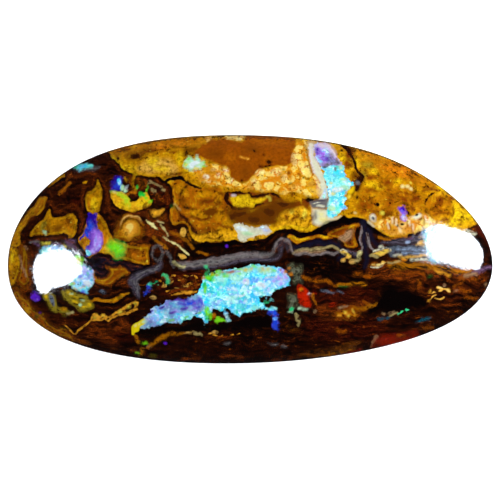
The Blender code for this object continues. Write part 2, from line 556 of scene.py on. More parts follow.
# Golden matrix: the upper field, and the cells that the dark ironstone encloses.
GOLD_AREAS = group(
    areas(Tone.GOLD, CRISP, (-11.6, 8.3, -11.1, 7.65, -10.8, 7.2, -10.5, 6.8, -10, 6.4, -9.4, 6.1,
        -8.9, 5.85, -7.9, 5.75, -7.2, 5.7, -6.7, 5.4, -6.3, 4.9, -6.1, 4.3, -6, 3.7, -6.3, 3.2, -6.3, 2.6,
        -6, 2, -5.4, 1.95, -4.9, 1.6, -4.6, 1, -4, 0.6, -3, 0.55, -1.5, 0.65, 0, 0.7, 1.1, 0.75, 1.6, 1.15,
        2.1, 1.55, 2.8, 1.55, 4, 1.46, 4.6, 1.4, 5, 1.45, 5.5, 1.75, 6, 2.1, 6.5, 2.2, 7, 2.4, 7.3, 2.6,
        7.7, 2.4, 8.2, 2.5, 8.6, 2.45, 9.1, 2.15, 9.5, 1.9, 10, 1.55, 10.5, 1.25, 11, 1, 11.6, 0.9,
        12.4, 1.1, 13.1, 1.3, 13.8, 1.45, 14.6, 1.9, 15.3, 1.9, 16, 1.6, 17, 1.35, 17.4, 1.75, 18.1, 2.05,
        18.6, 2.1, 18.8, 3.6, 16, 6, 12, 8, 8, 9.4, 2, 10.2, -4, 9.8, -9, 9), (-12.05, 5.45, -11.8, 4.9,
        -11.78, 4.4, -11.85, 3.5, -12, 2.95, -12.9, 2.9, -13.1, 3.3, -13.1, 4.2, -12.8, 4.6, -12.4, 4.9)),
    areas(Tone.OCHRE, CRISP, (-16.9, 4.15, -16.5, 4.2, -16.15, 4.1, -16.2, 3.6, -16.4, 3.1, -16.9, 2.75,
        -17.6, 2.6, -17.2, 3.5)),
    areas(Tone.MUSTARD, CRISP, (-15.9, 3.25, -15.65, 2.7, -15.3, 2.5, -14.8, 2.55, -14.4, 2.8, -14.1, 2.8,
        -13.75, 2.4, -13.7, 2, -13.85, 1.5, -14.2, 0.9, -14.6, 1.3, -15.3, 1.15, -16, 1.1, -16.6, 1.15,
        -17.5, 1, -17.3, 1.6, -16.9, 2.1, -16.4, 2.6)),
    areas(Tone.OCHRE, CRISP, (-12.68, 2.85, -11.95, 2.75, -11.45, 2.1, -11, 1.4, -10.7, 0.9, -10.2, 0.6,
        -9.8, 0.4, -9.4, 0.2, -8.7, 0.25, -7.95, 0.25, -8.05, -0.4, -7.95, -1.25, -8.5, -1.2, -9.2, -1,
        -10, -0.85, -10.65, -0.75, -11.3, -0.45, -12, -0.4, -12.8, -0.7, -12.9, -0.4, -13.3, 0.2,
        -13.65, 0.6, -13.65, 1, -13.2, 1.4, -12.9, 2.1)),
    veins(Tone.OCHRE, SOFT, (0.3, 0.5, 0.6, 0.4), (-17, 3.4, -17.6, 2.75, -18.1, 2.1, -18.6, 1.4)),
    areas(Tone.MUSTARD, CRISP, (-19.2, 1.2, -18.7, 1.4, -18.4, 1.1, -18.4, 0.4, -18.7, 0.2, -19.2, 0.2,
        -19.5, 0.6)),
    areas(Tone.GOLD, SOFT, (-19.8, 0.2, -18.9, 0.2, -18.5, -0.2, -18.3, -1, -18.4, -1.7, -18.7, -2.4,
        -18.9, -2.9, -19.8, -2.6)),
    areas(Tone.SIENNA, HAZY, (-18.3, 0.3, -17.9, 0, -17.6, -0.8, -17.6, -1.8, -17.5, -2.6, -18, -3,
        -18.5, -2.6, -18.3, -1.7, -18.1, -0.8)),
    areas(Tone.TOFFEE, HAZY, (-10.5, 1, -10.5, 1.7, -10.3, 2.3, -9.8, 2.6, -9.2, 2.6, -8.8, 2.2, -8.6, 1.6,
        -8.7, 1.1, -9.3, 0.8, -10, 0.85)),
    veins(Tone.OCHRE, CRISP, 0.26, (-16.1, 5.1, -15.5, 5.5, -15, 5.85)),
    areas(Tone.SAFFRON, CRISP, (-11, 4.6, -11, 4, -10.7, 3.5, -10.2, 3.15, -9.5, 3, -9, 3, -8.4, 3.25,
        -7.9, 3.6, -7.85, 3.9, -8.1, 4.5, -8.6, 4.3, -8.9, 3.9, -9.5, 3.75, -9.8, 4.2, -10.2, 4.6)),
    areas(Tone.BRIGHT_ORANGE, SOFT, (-8, 3.1, -7.5, 3.1, -6.9, 3.2, -6.9, 2.95, -7.3, 2.7, -7.7, 2.65)),
    areas(Tone.TOFFEE, CRISP, (-6.3, 3, -5.7, 3.1, -5.2, 2.7, -5.3, 2.2, -5.9, 2, -6.3, 2.4)),
    areas(Tone.HONEY, CRISP, (-5.5, 1.6, -5.1, 1.4, -5.15, 0.9, -5.5, 1), (-5.65, -0.3, -4.95, -0.6,
        -5.45, -0.8)),
    areas(Tone.TOFFEE, CRISP, (3.1, 1.15, 4, 0.98, 5, 1.03, 5.8, 1.14, 6.3, 1.08, 6.5, 0.86, 5.7, 0.84,
        5, 0.74, 4.4, 0.64, 3.8, 0.45, 3.35, 0.55, 2.95, 0.9)),
    areas(Tone.SIENNA, CRISP, (6, 1.22, 6.6, 1.6, 7.3, 1.8, 7.9, 2, 8.5, 2.05, 8.32, 1.6, 8.35, 0.9,
        8.35, 0.2, 7.8, 0.15, 7.4, 0.55, 6.8, 0.9, 6.4, 0.98)),
    veins(Tone.SIENNA, HAZY, (0.6, 0.9, 0.9, 0.7, 0.6, 0.3), (-18.6, -3.6, -17.9, -4.7, -17, -5.5,
        -16.2, -6.1, -15.2, -6.7, -14.2, -7.1)),
    veins(Tone.OCHRE, CRISP, (0.1, 0.2, 0.24, 0.3, 0.4, 0.2), (-13.7, -4.3, -12.8, -4.15, -12, -4.05,
        -11.3, -4.1, -10.6, -3.9, -9.6, -3.5)),
    areas(Tone.SIENNA, SOFT, (-11.3, -1.3, -10.6, -1.5, -9.9, -1.5, -9.5, -1.8, -10.3, -2.1, -10.8, -2.6,
        -11.4, -2.9, -12.2, -2.6, -12.5, -2.1, -11.6, -2.3, -11, -1.9)),
)

# Tone changes inside the golden matrix.
GOLD_ZONES = group(
    veins(Tone.AMBER, MISTY, 1.1, (-11, 7.9, -9, 8.3, -7, 8.5, -4.6, 8.6)),
    spots(Tone.BROWN, HAZY, (-9.2, 7.5, 1.3, 0.8, 10), (-10.6, 7.2, 0.6, 0.6), (-8, 7.9, 1.5, 0.4, 5),
        (-5.9, 5.75, 1.2, 0.4, -10), (-3.5, 1.6, 1, 0.5, 10), (8.45, 5.4, 0.9, 1.6, 15),
        (-4.5, 7.9, 1.5, 0.5), (8, 7.2, 0.7, 1.5, -15)),
    spots(Tone.ORANGE, HAZY, (-7, 8.15, 1.3, 0.5, 8), (-5.6, 8.4, 1, 0.3)),
    areas(Tone.HONEY, HAZY, (-9, 6.3, -8.3, 6.9, -7.4, 7.2, -6.4, 7, -5.8, 6.5, -6.1, 6, -7, 6.15,
        -8, 6.05)),
    spots(Tone.RUST, SOFT, (-8.1, 7.75, 1.6, 0.2, 8), (-6.9, 6.65, 0.7, 0.16, -10),
        (-6.2, 7.6, 0.9, 0.2, 5), (-9.9, 7.9, 0.9, 0.2, 15), (-5.6, 6, 0.4, 0.3)),
    spots(Tone.YELLOW, HAZY, (-7.7, 7, 1.1, 0.5, 15), (-7.1, 6.4, 1.3, 0.4, -10), (-5.6, 7.2, 0.5, 0.7),
        (-4.7, 6.2, 0.9, 0.4, -10), (-9.4, 6.5, 0.8, 0.3, -25)),
    areas(Tone.TOFFEE, SOFT, (-6.3, 5.3, -5.2, 5.4, -4.4, 4.8, -2.6, 4.9, -1.9, 4.2, -1.9, 2.6, -3, 1.3,
        -4.6, 1.5, -5.9, 2.2, -6.3, 3.6)),
    spots(Tone.MUSTARD, SOFT, (-5.5, 4.7, 0.9, 0.7), (-3.9, 2.6, 1.6, 0.9, -30), (-2.6, 4, 0.9, 1.2),
        (-3.6, 4.4, 1.2, 0.5), (-2.4, 2.7, 0.7, 1.1)),
    spots(Tone.RUST, SOFT, (-3.4, 3.7, 0.7, 0.3, 20), (-3.3, 3.05, 0.9, 0.35, -5), (-2.7, 3.4, 0.4, 0.4),
        (-3.6, 1.55, 0.8, 0.4), (-5.7, 3.5, 0.5, 0.3), (-2, 1.9, 0.9, 0.2, -10)),
    veins(Tone.SAFFRON, HAZY, 0.7, (-4.4, 1, -3.4, 0.9, -2, 1.05, 0, 0.85, 1.4, 1.1)),
    areas(Tone.RUST, SOFT, (-1.9, 4.4, -1.5, 4.6, 0.2, 4.5, 1.4, 4.5, 2.4, 4.1, 3.2, 3.6, 4.6, 4, 4.8, 3.6,
        3.4, 3.1, 2.4, 3.1, 1.4, 3.5, 0.6, 3.2, -1.2, 3, -1.8, 3.4)),
    areas(Tone.YELLOW, SOFT, (-1.4, 4.2, -0.3, 4.25, 0.3, 3.95, 1.3, 4.05, 0.9, 3.75, 0.5, 3.55, 0.1, 3.3,
        -1.2, 3.35, -1.4, 3.7)),
    areas(Tone.BROWN, SOFT, (-1.6, 3, -0.5, 3.05, 0.4, 3.1, 1.2, 3.4, 2.1, 3.2, 2.3, 2.6, 2, 2.1, 1.2, 2,
        0, 2.05, -1, 2.15, -1.6, 2.4)),
    spots(Tone.CHOCOLATE, HAZY, (-0.7, 2.7, 1.2, 0.3, 6), (1.3, 2.5, 0.9, 0.4, -10), (0.2, 2.3, 0.7, 0.2),
        (1.5, 3.1, 0.9, 0.2), (-1.5, 2.8, 0.4, 0.5)),
    areas(Tone.SAFFRON, SOFT, (2.5, 3, 3.5, 3.2, 4.4, 3.3, 4.8, 2.4, 4.4, 1.7, 3, 1.8, 2.2, 1.75,
        2.4, 2.3)),
    spots(Tone.RUST, SOFT, (4.3, 3.6, 0.4, 0.7), (2.9, 2.5, 0.3, 0.4), (3.6, 2.5, 0.5, 0.2, 20)),
    veins(Tone.YELLOW, SOFT, 0.2, (2.4, 1.68, 3.4, 1.75, 4.4, 1.65, 5, 1.8)),
    spots(Tone.LEMON, SOFT, (4.3, 2.8, 0.3, 0.8), (3.3, 2.9, 0.3, 0.3)),
    areas(Tone.OCHRE, MISTY, (8.2, 2.6, 9, 5.6, 9.2, 7, 12, 5.9, 15, 4.6, 15.8, 3, 14.2, 2.6, 12, 2.9,
        10, 2.2)),
    areas(Tone.AMBER, MISTY, (8.2, 8.6, 9.6, 7.9, 12, 7.2, 14, 6, 15.6, 4.9, 14.6, 4.9, 12.6, 5.6,
        10.6, 6.2, 9.4, 7)),
    areas(Tone.ORANGE, HAZY, (10.4, 6.7, 11.8, 6.7, 13, 6, 12.6, 5.7, 11.8, 5.8, 10.8, 6.3)),
    areas(Tone.YELLOW, HAZY, (16.2, 3.9, 17, 3.2, 17.9, 2.4, 17.4, 2.1, 16.4, 1.7, 15.6, 1.9, 16, 2.6,
        16.1, 3.2)),
    spots(Tone.GOLD, HAZY, (13.6, 4.6, 1.6, 0.6, -20), (12.2, 5.1, 0.9, 0.4), (9.8, 4.2, 0.9, 0.5)),
    spots(Tone.SIENNA, HAZY, (14.9, 3.6, 0.5, 1, 15), (15.9, 3.9, 0.4, 0.7, -30), (11.1, 3.9, 0.6, 1, -15),
        (10.8, 5.3, 0.8, 0.4, 20), (9.6, 5.7, 0.7, 0.4), (13.2, 4.2, 0.7, 0.5), (12.2, 4, 0.6, 0.4),
        (9.2, 3.6, 1.3, 0.9), (10.9, 2.9, 0.6, 0.5), (13, 5.6, 0.8, 0.4, -30)),
    spots(Tone.YELLOW, HAZY, (9.8, 6.2, 0.6, 0.4), (9.6, 5.15, 1, 0.3), (11.7, 5.4, 0.5, 0.3),
        (10.3, 4.9, 0.5, 0.3), (7.35, 7.3, 0.5, 0.5), (8.5, 7, 0.25, 0.5), (15.3, 4.8, 0.9, 0.3, -35),
        (16.6, 3.3, 0.9, 0.3, -40)),
    spots(Tone.RUST, SOFT, (7.8, 6.7, 0.6, 0.7), (7.9, 7.6, 0.4, 0.6, -30), (8.2, 5.2, 0.4, 0.8)),
    spots(Tone.MOSS, HAZY, (9.3, 6.7, 0.7, 0.4), (9, 5.9, 0.4, 0.6)),
    spots(Tone.AMBER, HAZY, (-14.5, 2, 0.9, 0.7), (-12.2, -0.3, 1, 0.4)),
    spots(Tone.MUSTARD, HAZY, (-15.6, 2.1, 1.4, 0.7, 10), (-12.4, 4.2, 0.6, 0.9, 20),
        (-11.5, 1.6, 0.6, 0.8), (-13.4, 0.8, 0.4, 0.5)),
    spots(Tone.MOSS, SOFT, (-16.45, 1.9, 0.5, 1, -15), (-16.2, 1.4, 0.4, 0.3)),
    spots(Tone.SAFFRON, HAZY, (-11.5, -0.05, 1, 0.5), (-9.4, 0.45, 1, 0.3)),
    spots(Tone.ORANGE, SOFT, (-11.5, 0.7, 0.5, 1.2, 20), (-9.3, 0.55, 1.6, 0.4), (-12.7, 3.5, 0.4, 0.7),
        (-9.5, -0.3, 1.2, 0.5, -20), (-8.5, -0.7, 0.7, 0.5)),
    spots(Tone.LEMON, SOFT, (-8.5, 3.65, 1, 0.4, 10), (-9.9, 3.4, 0.5, 0.3, -30)),
    spots(Tone.YELLOW, SOFT, (4.2, 0.82, 0.9, 0.2), (3.5, 0.95, 0.6, 0.2, -10), (5.8, 1.02, 0.6, 0.12)),
    spots(Tone.RUST, SOFT, (5, 0.9, 0.6, 0.12), (6.9, 1.4, 0.8, 0.14, 15), (7.9, 0.4, 0.5, 0.4)),
    spots(Tone.YELLOW, SOFT, (-19, -0.5, 0.4, 0.9), (8.1, 1.85, 0.6, 0.12, 20), (-9.9, 3.4, 1, 0.5, -30),
        (-8.5, 3.7, 1.1, 0.5, 15), (-12.3, 3.6, 0.5, 1.2)),
    spots(Tone.SAFFRON, HAZY, (-9.6, 1.6, 1.1, 1.4)),
    spots(Tone.HONEY, HAZY, (-9.6, 1.65, 0.7, 1)),
    spots(Tone.SIENNA, HAZY, (-9, -0.2, 1.6, 0.3, -6), (-8.5, -0.9, 0.9, 0.5)),
    spots(Tone.BROWN, HAZY, (-15.3, 1.6, 0.9, 0.4, 20), (-8.9, 0.05, 1.2, 0.3), (-8.4, -0.9, 0.5, 0.4),
        (-13, 3.9, 0.3, 0.9), (-18.9, -1.9, 0.4, 0.6)),
)

# Smooth brown concretion and crystalline cream and orange crust on the matrix.
CRUST_AREAS = group(
    areas(Tone.SAFFRON, SOFT, (-0.4, 5.5, 0.1, 5, 0.8, 4.65, 1.8, 4.6, 2.6, 4.4, 3.4, 4.6, 4, 4.4, 4.6, 4.2,
        5.2, 4.35, 5.55, 4.6, 5.45, 5.2, 5.25, 5.8, 4.95, 6.4, 4.7, 7, 4.6, 7.7, 4.55, 8.4, 4.1, 8.9,
        3.6, 8.5, 3.2, 7.8, 2.9, 7.4, 2.9, 6.9, 2.3, 6.7, 0.7, 6.6, 0.4, 6.1), (-4.6, 6.4, -3.9, 6.9,
        -3, 6.8, -2.3, 6.5, -1.6, 6.3, -1.5, 5.6, -1.1, 5.2, -1.6, 4.9, -2.6, 5, -3.3, 5.1, -4.2, 5.6),
        (-1.9, 5.2, -1, 5, -0.3, 4.8, 0.4, 4.7, 0.3, 5.2, -0.4, 5.35, -1.2, 5.5)),
    areas(Tone.HONEY, SOFT, (11, 2.6, 12, 2.4, 13.2, 2.8, 14.2, 2.7, 14.8, 2.2, 14.2, 1.8, 13.2, 1.4,
        12.2, 1.15, 11.2, 1.1, 10.4, 1.5, 9.9, 2)),
    areas(Tone.SIENNA, SOFT, (-4.2, 8, -3.3, 8.6, -2.5, 8.8, -1.5, 8.75, -0.5, 8.7, 0, 9.4, 2, 9.6,
        3.4, 9.2, 3.65, 8.3, 3.45, 7.8, 3.5, 7.3, 3.4, 6.85, 2.6, 6.6, 1, 6.45, 0.6, 6.1, 0.2, 5.8,
        -0.3, 5.4, -0.9, 5.3, -1.5, 5.6, -1.6, 6.4, -2.3, 6.6, -3, 7, -3.7, 7.2, -4.3, 7.3)),
    areas(Tone.BUTTER, CRISP, (-1.9, 8.75, -1.3, 8.85, -0.7, 8.75, -0.6, 9.3, -1.9, 9.3)),
    areas(Tone.PEACH, CRISP, (-3.5, 8.65, -3.1, 8.8, -3, 9.3, -3.7, 9.2)),
)

# Colour changes inside the crust.
CRUST_ZONES = group(
    spots(Tone.ORANGE, HAZY, (1.7, 5.5, 2.2, 0.6, 20), (3.8, 5.1, 0.8, 0.9), (4.2, 7.4, 0.5, 1.1),
        (13.9, 2.9, 0.4, 0.6), (3.1, 5.9, 0.5, 0.9, 20), (0.6, 4.9, 1.2, 0.3), (2.6, 4.7, 1, 0.4)),
    spots(Tone.GOLD, HAZY, (4.6, 4.8, 0.6, 0.6), (11, 1.7, 1.1, 0.6)),
    spots(Tone.CREAM, HAZY, (0.2, 5, 0.8, 0.24), (3.6, 4.9, 0.8, 0.3), (4.9, 5.4, 0.4, 0.6),
        (-3.6, 5.2, 0.8, 0.3)),
    spots(Tone.HONEY, HAZY, (-3.4, 5.6, 1.2, 0.6), (-2.4, 6.2, 1, 0.4), (-4, 6.3, 0.5, 0.5)),
    spots(Tone.BUTTER, SOFT, (-3.3, 5.4, 0.5, 0.3), (-2.9, 6.3, 0.4, 0.24), (0.35, 5.4, 0.5, 0.4),
        (0.8, 6.1, 0.7, 0.5), (2, 6.1, 0.9, 0.5, 10), (1.5, 5.15, 0.6, 0.3), (3.6, 7.1, 0.5, 1),
        (4.4, 6.3, 0.8, 0.9), (4.6, 8.35, 0.4, 0.5), (2.7, 5.6, 0.4, 0.5)),
    spots(Tone.YELLOW, HAZY, (4.6, 5.5, 0.8, 0.6), (4.9, 4.6, 0.7, 0.4)),
    spots(Tone.IVORY, SOFT, (-3.5, 5.8, 0.5, 0.4), (-1.9, 6.3, 0.5, 0.3), (14.1, 2.3, 0.6, 0.4),
        (12.7, 2.65, 0.7, 0.25, -8), (-1.6, 5.4, 0.4, 0.4), (-2.5, 5.9, 0.4, 0.3)),
    spots(Tone.ORANGE, HAZY, (-2.7, 5.5, 1, 0.5), (13, 2.1, 0.6, 0.6), (12.6, 1.6, 0.7, 0.3)),
    spots(Tone.BROWN, MISTY, (-2.8, 7.6, 1, 0.4, 10), (0.2, 7.9, 1, 0.4), (-0.4, 6.1, 0.5, 0.5)),
    spots(Tone.TOFFEE, HAZY, (1.6, 8.6, 3, 0.5), (-1.6, 7.3, 0.9, 0.8), (1.4, 7.2, 0.5, 0.3)),
    veins(Tone.BRIGHT_ORANGE, SOFT, 0.14, (-0.7, 7.35, -0.45, 7.2, -0.2, 7.05)),
)

# Black and navy lines, cracks, specks and patches that cross the golden matrix, and painted shade on the
# steep rim of the right end.
DARK_LINES_AND_PAINTED_RIM_SHADE = group(
    veins(Tone.BLACK, CRISP, (0.2, 0.28, 0.36, 0.34, 0.26, 0.2, 0.1), (-6.9, 5.3, -6.5, 5.5, -6, 5.62,
        -5.4, 5.6, -4.9, 5.2, -4.3, 4.9, -3.8, 4.78)),
    veins(Tone.BLACK, CRISP, (0.1, 0.26, 0.26, 0.26, 0.24, 0.22, 0.22, 0.22, 0.2, 0.22, 0.26, 0.34, 0.34,
        0.36, 0.4, 0.5, 0.5, 0.4, 0.3, 0.26, 0.2, 0.1), (-4.9, 0.5, -4, 0.33, -3, 0.3, -1.5, 0.42, 0, 0.46,
        1.2, 0.5, 1.7, 0.92, 2.2, 1.32, 2.8, 1.32, 4, 1.25, 4.8, 1.2, 5.5, 1.42, 6.1, 1.82, 6.8, 2.02,
        7.3, 2.22, 8, 2.2, 8.8, 2.2, 9.3, 1.8, 9.9, 1.35, 10.6, 0.98, 11.4, 0.7, 12.3, 0.85)),
    veins(Tone.UMBER, CRISP, (0.12, 0.2, 0.16, 0.12, 0.14, 0.16, 0.2, 0.2, 0.1), (-1.7, 4.5, -1, 4.55,
        -0.5, 4.4, 0, 4.35, 0.2, 4.1, 0.8, 4.2, 1.3, 4.35, 1.9, 4.25, 2.5, 3.9)),
    veins(Tone.UMBER, CRISP, (0.3, 0.3, 0.22, 0.16, 0.14, 0.14, 0.12, 0.12), (-1.7, 4.4, -1.85, 3.9,
        -1.55, 3.5, -1.3, 3.2, -0.7, 3.15, 0.1, 3.1, 0.5, 3.45, 1, 3.6)),
    veins(Tone.UMBER, SOFT, 0.13, (-5, 5, -5.4, 4.5, -5.5, 3.9, -5.2, 3.4, -4.6, 3.2), (-6.15, 4.9,
        -6.2, 4.3, -6.1, 3.6), (0.7, 6.6, 1.2, 6.55, 1.6, 6.6), (-6.4, 2, -5.8, 1.8, -5.2, 1.85), (4.5, 7.9,
        4.55, 7.2, 4.8, 6.5, 5, 6.1)),
    veins(Tone.RUST, SOFT, 0.12, (-4.9, 2.9, -4.4, 2.5, -3.8, 2.3, -3.2, 2.5), (-3.9, 3.9, -3.4, 3.75,
        -3, 3.9, -2.7, 4.2), (9.2, 4.7, 9.7, 4.8, 10.1, 4.6), (8.8, 2.9, 9.4, 3, 9.9, 2.9), (14.7, 2.85,
        15.2, 3, 15.8, 2.85), (16.1, 3.3, 16.15, 3, 16.05, 2.75), (13.8, 4.6, 14.4, 4.72, 14.9, 4.6),
        (14.8, 4, 14.95, 3.8), (15.1, 4.15, 15.25, 3.8, 15.2, 3.6), (10.35, 5.05, 10.6, 5.1, 10.8, 5.3,
        11, 5.35), (9.5, 4, 9.9, 4.2), (11.6, 4.3, 12, 4.5, 12.4, 4.3), (12.8, 3.9, 13.1, 4.1, 13.5, 4)),
    spots(Tone.UMBER, SOFT, (-9.15, 7.45, 0.6, 0.4), (-10.5, 7.1, 0.3, 0.3), (1.55, 6.9, 0.5, 0.32, 10),
        (1.1, 7.5, 0.2, 0.2), (0.3, 7.8, 0.18, 0.18), (-0.7, 5.4, 0.25, 0.2), (8.45, 4.1, 0.25, 0.3),
        (7.35, 7.85, 0.2, 0.18), (10.15, 5.85, 0.28, 0.22, -30), (11.75, 1.85, 0.2, 0.2),
        (12.55, 3, 0.22, 0.5, 20), (-5.05, 7.65, 0.3, 0.26)),
    spots(Tone.UMBER, CRISP, (-2.2, 1.1, 0.22, 0.16), (-2.6, 1.25, 0.16, 0.14), (-2.4, 1, 0.12, 0.12)),
    spots(Tone.DEEP_GREEN, SOFT, (-6.1, 3.4, 0.35, 0.3)),
    spots(Tone.RUST, SOFT, (3, 6.05, 0.25, 0.25), (3.4, 2.3, 0.16, 0.16), (3.65, 2.65, 0.16, 0.14),
        (4.4, 2.55, 0.16, 0.2), (4.8, 2.35, 0.18, 0.14), (4.4, 8.15, 0.3, 0.22), (9.5, 5.6, 0.28, 0.2),
        (11, 4.7, 0.25, 0.16), (11, 2.4, 0.2, 0.16), (12.25, 3.9, 0.4, 0.2), (12.95, 3.35, 0.2, 0.16),
        (16.1, 4, 0.4, 0.3, -40), (15.4, 4.45, 0.2, 0.2), (15.55, 2.3, 0.45, 0.24, 10),
        (16.7, 1.95, 0.4, 0.18), (16.65, 2.35, 0.3, 0.14), (3.9, 5.9, 0.2, 0.16), (3.1, 7, 0.16, 0.2)),
    areas(Tone.BLACK, SOFT, (4.2, 3.8, 4.6, 4.15, 5.1, 4.17, 5.45, 4.02, 5, 3.86, 4.7, 3.8)),
    veins(Tone.RUST, SOFT, 0.2, (4.1, 4, 4.3, 3.8, 4.5, 3.3)),
    areas(Tone.BROWN, HAZY, (-1.7, 3.05, -0.7, 3.1, 0.5, 3.1, 1.3, 3.5, 1.9, 3.95, 2.8, 3.95, 3.7, 3.55,
        3.5, 3.1, 2.6, 2.8, 2.05, 2.2, 1.3, 1.9, 0.3, 2.1, -0.6, 1.85, -1.4, 2)),
    spots(Tone.CHOCOLATE, HAZY, (-0.9, 2.7, 1.1, 0.24, 6), (1.5, 2.9, 0.8, 0.3, -10), (0.3, 2.4, 0.6, 0.2),
        (2.6, 3.6, 0.8, 0.24, -15), (-1.5, 2.4, 0.3, 0.5)),
    veins(Tone.CHOCOLATE, SOFT, (0.1, 0.24, 0.34, 0.36, 0.24, 0.06), (-6.1, 3.7, -5.7, 3.1, -5.2, 2.4,
        -4.7, 1.75, -4, 1.3, -3.3, 1.3)),
    areas(Tone.BROWN, SOFT, (-3.6, 2.9, -3.3, 3.2, -2.8, 3.25, -2.5, 3, -2.75, 2.7, -3.2, 2.65)),
    spots(Tone.BROWN, SOFT, (-2.45, 3.65, 0.4, 0.34), (-3.6, 3.75, 0.6, 0.22, 15), (-4.6, 2.5, 0.4, 0.3),
        (-5.3, 4, 0.3, 0.5, 20), (-2.2, 4.35, 0.5, 0.2)),
    veins(Tone.UMBER, CRISP, (0.34, 0.3, 0.22, 0.22, 0.26, 0.2, 0.24, 0.3), (7.45, 8.3, 7.8, 7.95, 8, 7.6,
        8.25, 7.25, 8.35, 6.8, 8.4, 6.3, 8.62, 6, 8.95, 5.65)),
    areas(Tone.UMBER, SOFT, (8.7, 5.75, 9.05, 5.6, 9, 5.3, 8.75, 5.1, 8.75, 4.8, 8.5, 4.6, 8.3, 4.5,
        8.1, 4.2, 8.05, 4.3, 8.25, 4.8, 8.4, 5.1, 8.4, 5.4)),
    veins(Tone.UMBER, SOFT, 0.08, (11.85, 3.55, 12.2, 3.62, 12.55, 3.58)),
    veins(Tone.UMBER, CRISP, 0.14, (13.85, 3.5, 13.95, 3.8, 14.1, 4.1, 14.3, 4.36, 14.6, 4.42)),
    areas(Tone.BLACK, HAZY, (9.1, -4.5, 9.9, -4.1, 10.2, -3.6, 10.5, -3.1, 11.3, -2.9, 11.9, -3.2,
        12.7, -3.3, 13.6, -3.5, 14.1, -4, 14, -4.5, 12.9, -4.75, 11.7, -5, 10.6, -4.95, 9.9, -5.2,
        9.1, -5.1)),
    veins(Tone.BLACK, SOFT, 0.2, (12.3, -3.9, 13.2, -4.1, 14, -4.6), (10.4, -3, 11.2, -2.6, 12.4, -2.7),
        (6.6, -2.4, 8, -2.4, 9.4, -2.5), (13.8, -4.9, 15.2, -4.8, 16.2, -4.6)),
    areas(Tone.BLACK, HAZY, (-8.8, -6.5, -7.6, -6.3, -6, -6.1, -4, -5.7, -2.8, -6, 0, -5.4, 1.6, -5.4,
        1.4, -6.2, -3, -6.4, -6, -6.4, -8.2, -6.9)),
    # Dark maroon ironstone at the right end, then black towards the steep rim: painted shade of the edge
    # turning away.
    areas(Tone.MAROON, SOFT, (18.2, 2.05, 18.7, 2.4, 19.6, 0.8, 19.7, -0.8, 19.2, -0.9, 19, 0, 18.8, 0.6,
        18.4, 1.1, 17.9, 1.65)),
    areas(Tone.BLACK, SOFT, (18.75, 2, 19.4, 1.4, 19.8, 0.2, 19.8, -1, 19.1, -1.1, 19.1, 0, 18.95, 0.9)),
    veins(Tone.UMBER, CRISP, 0.22, (-16.1, 3.3, -16.9, 2.5, -17.6, 1.9, -17.9, 1.2, -17.7, 0.2)),
)
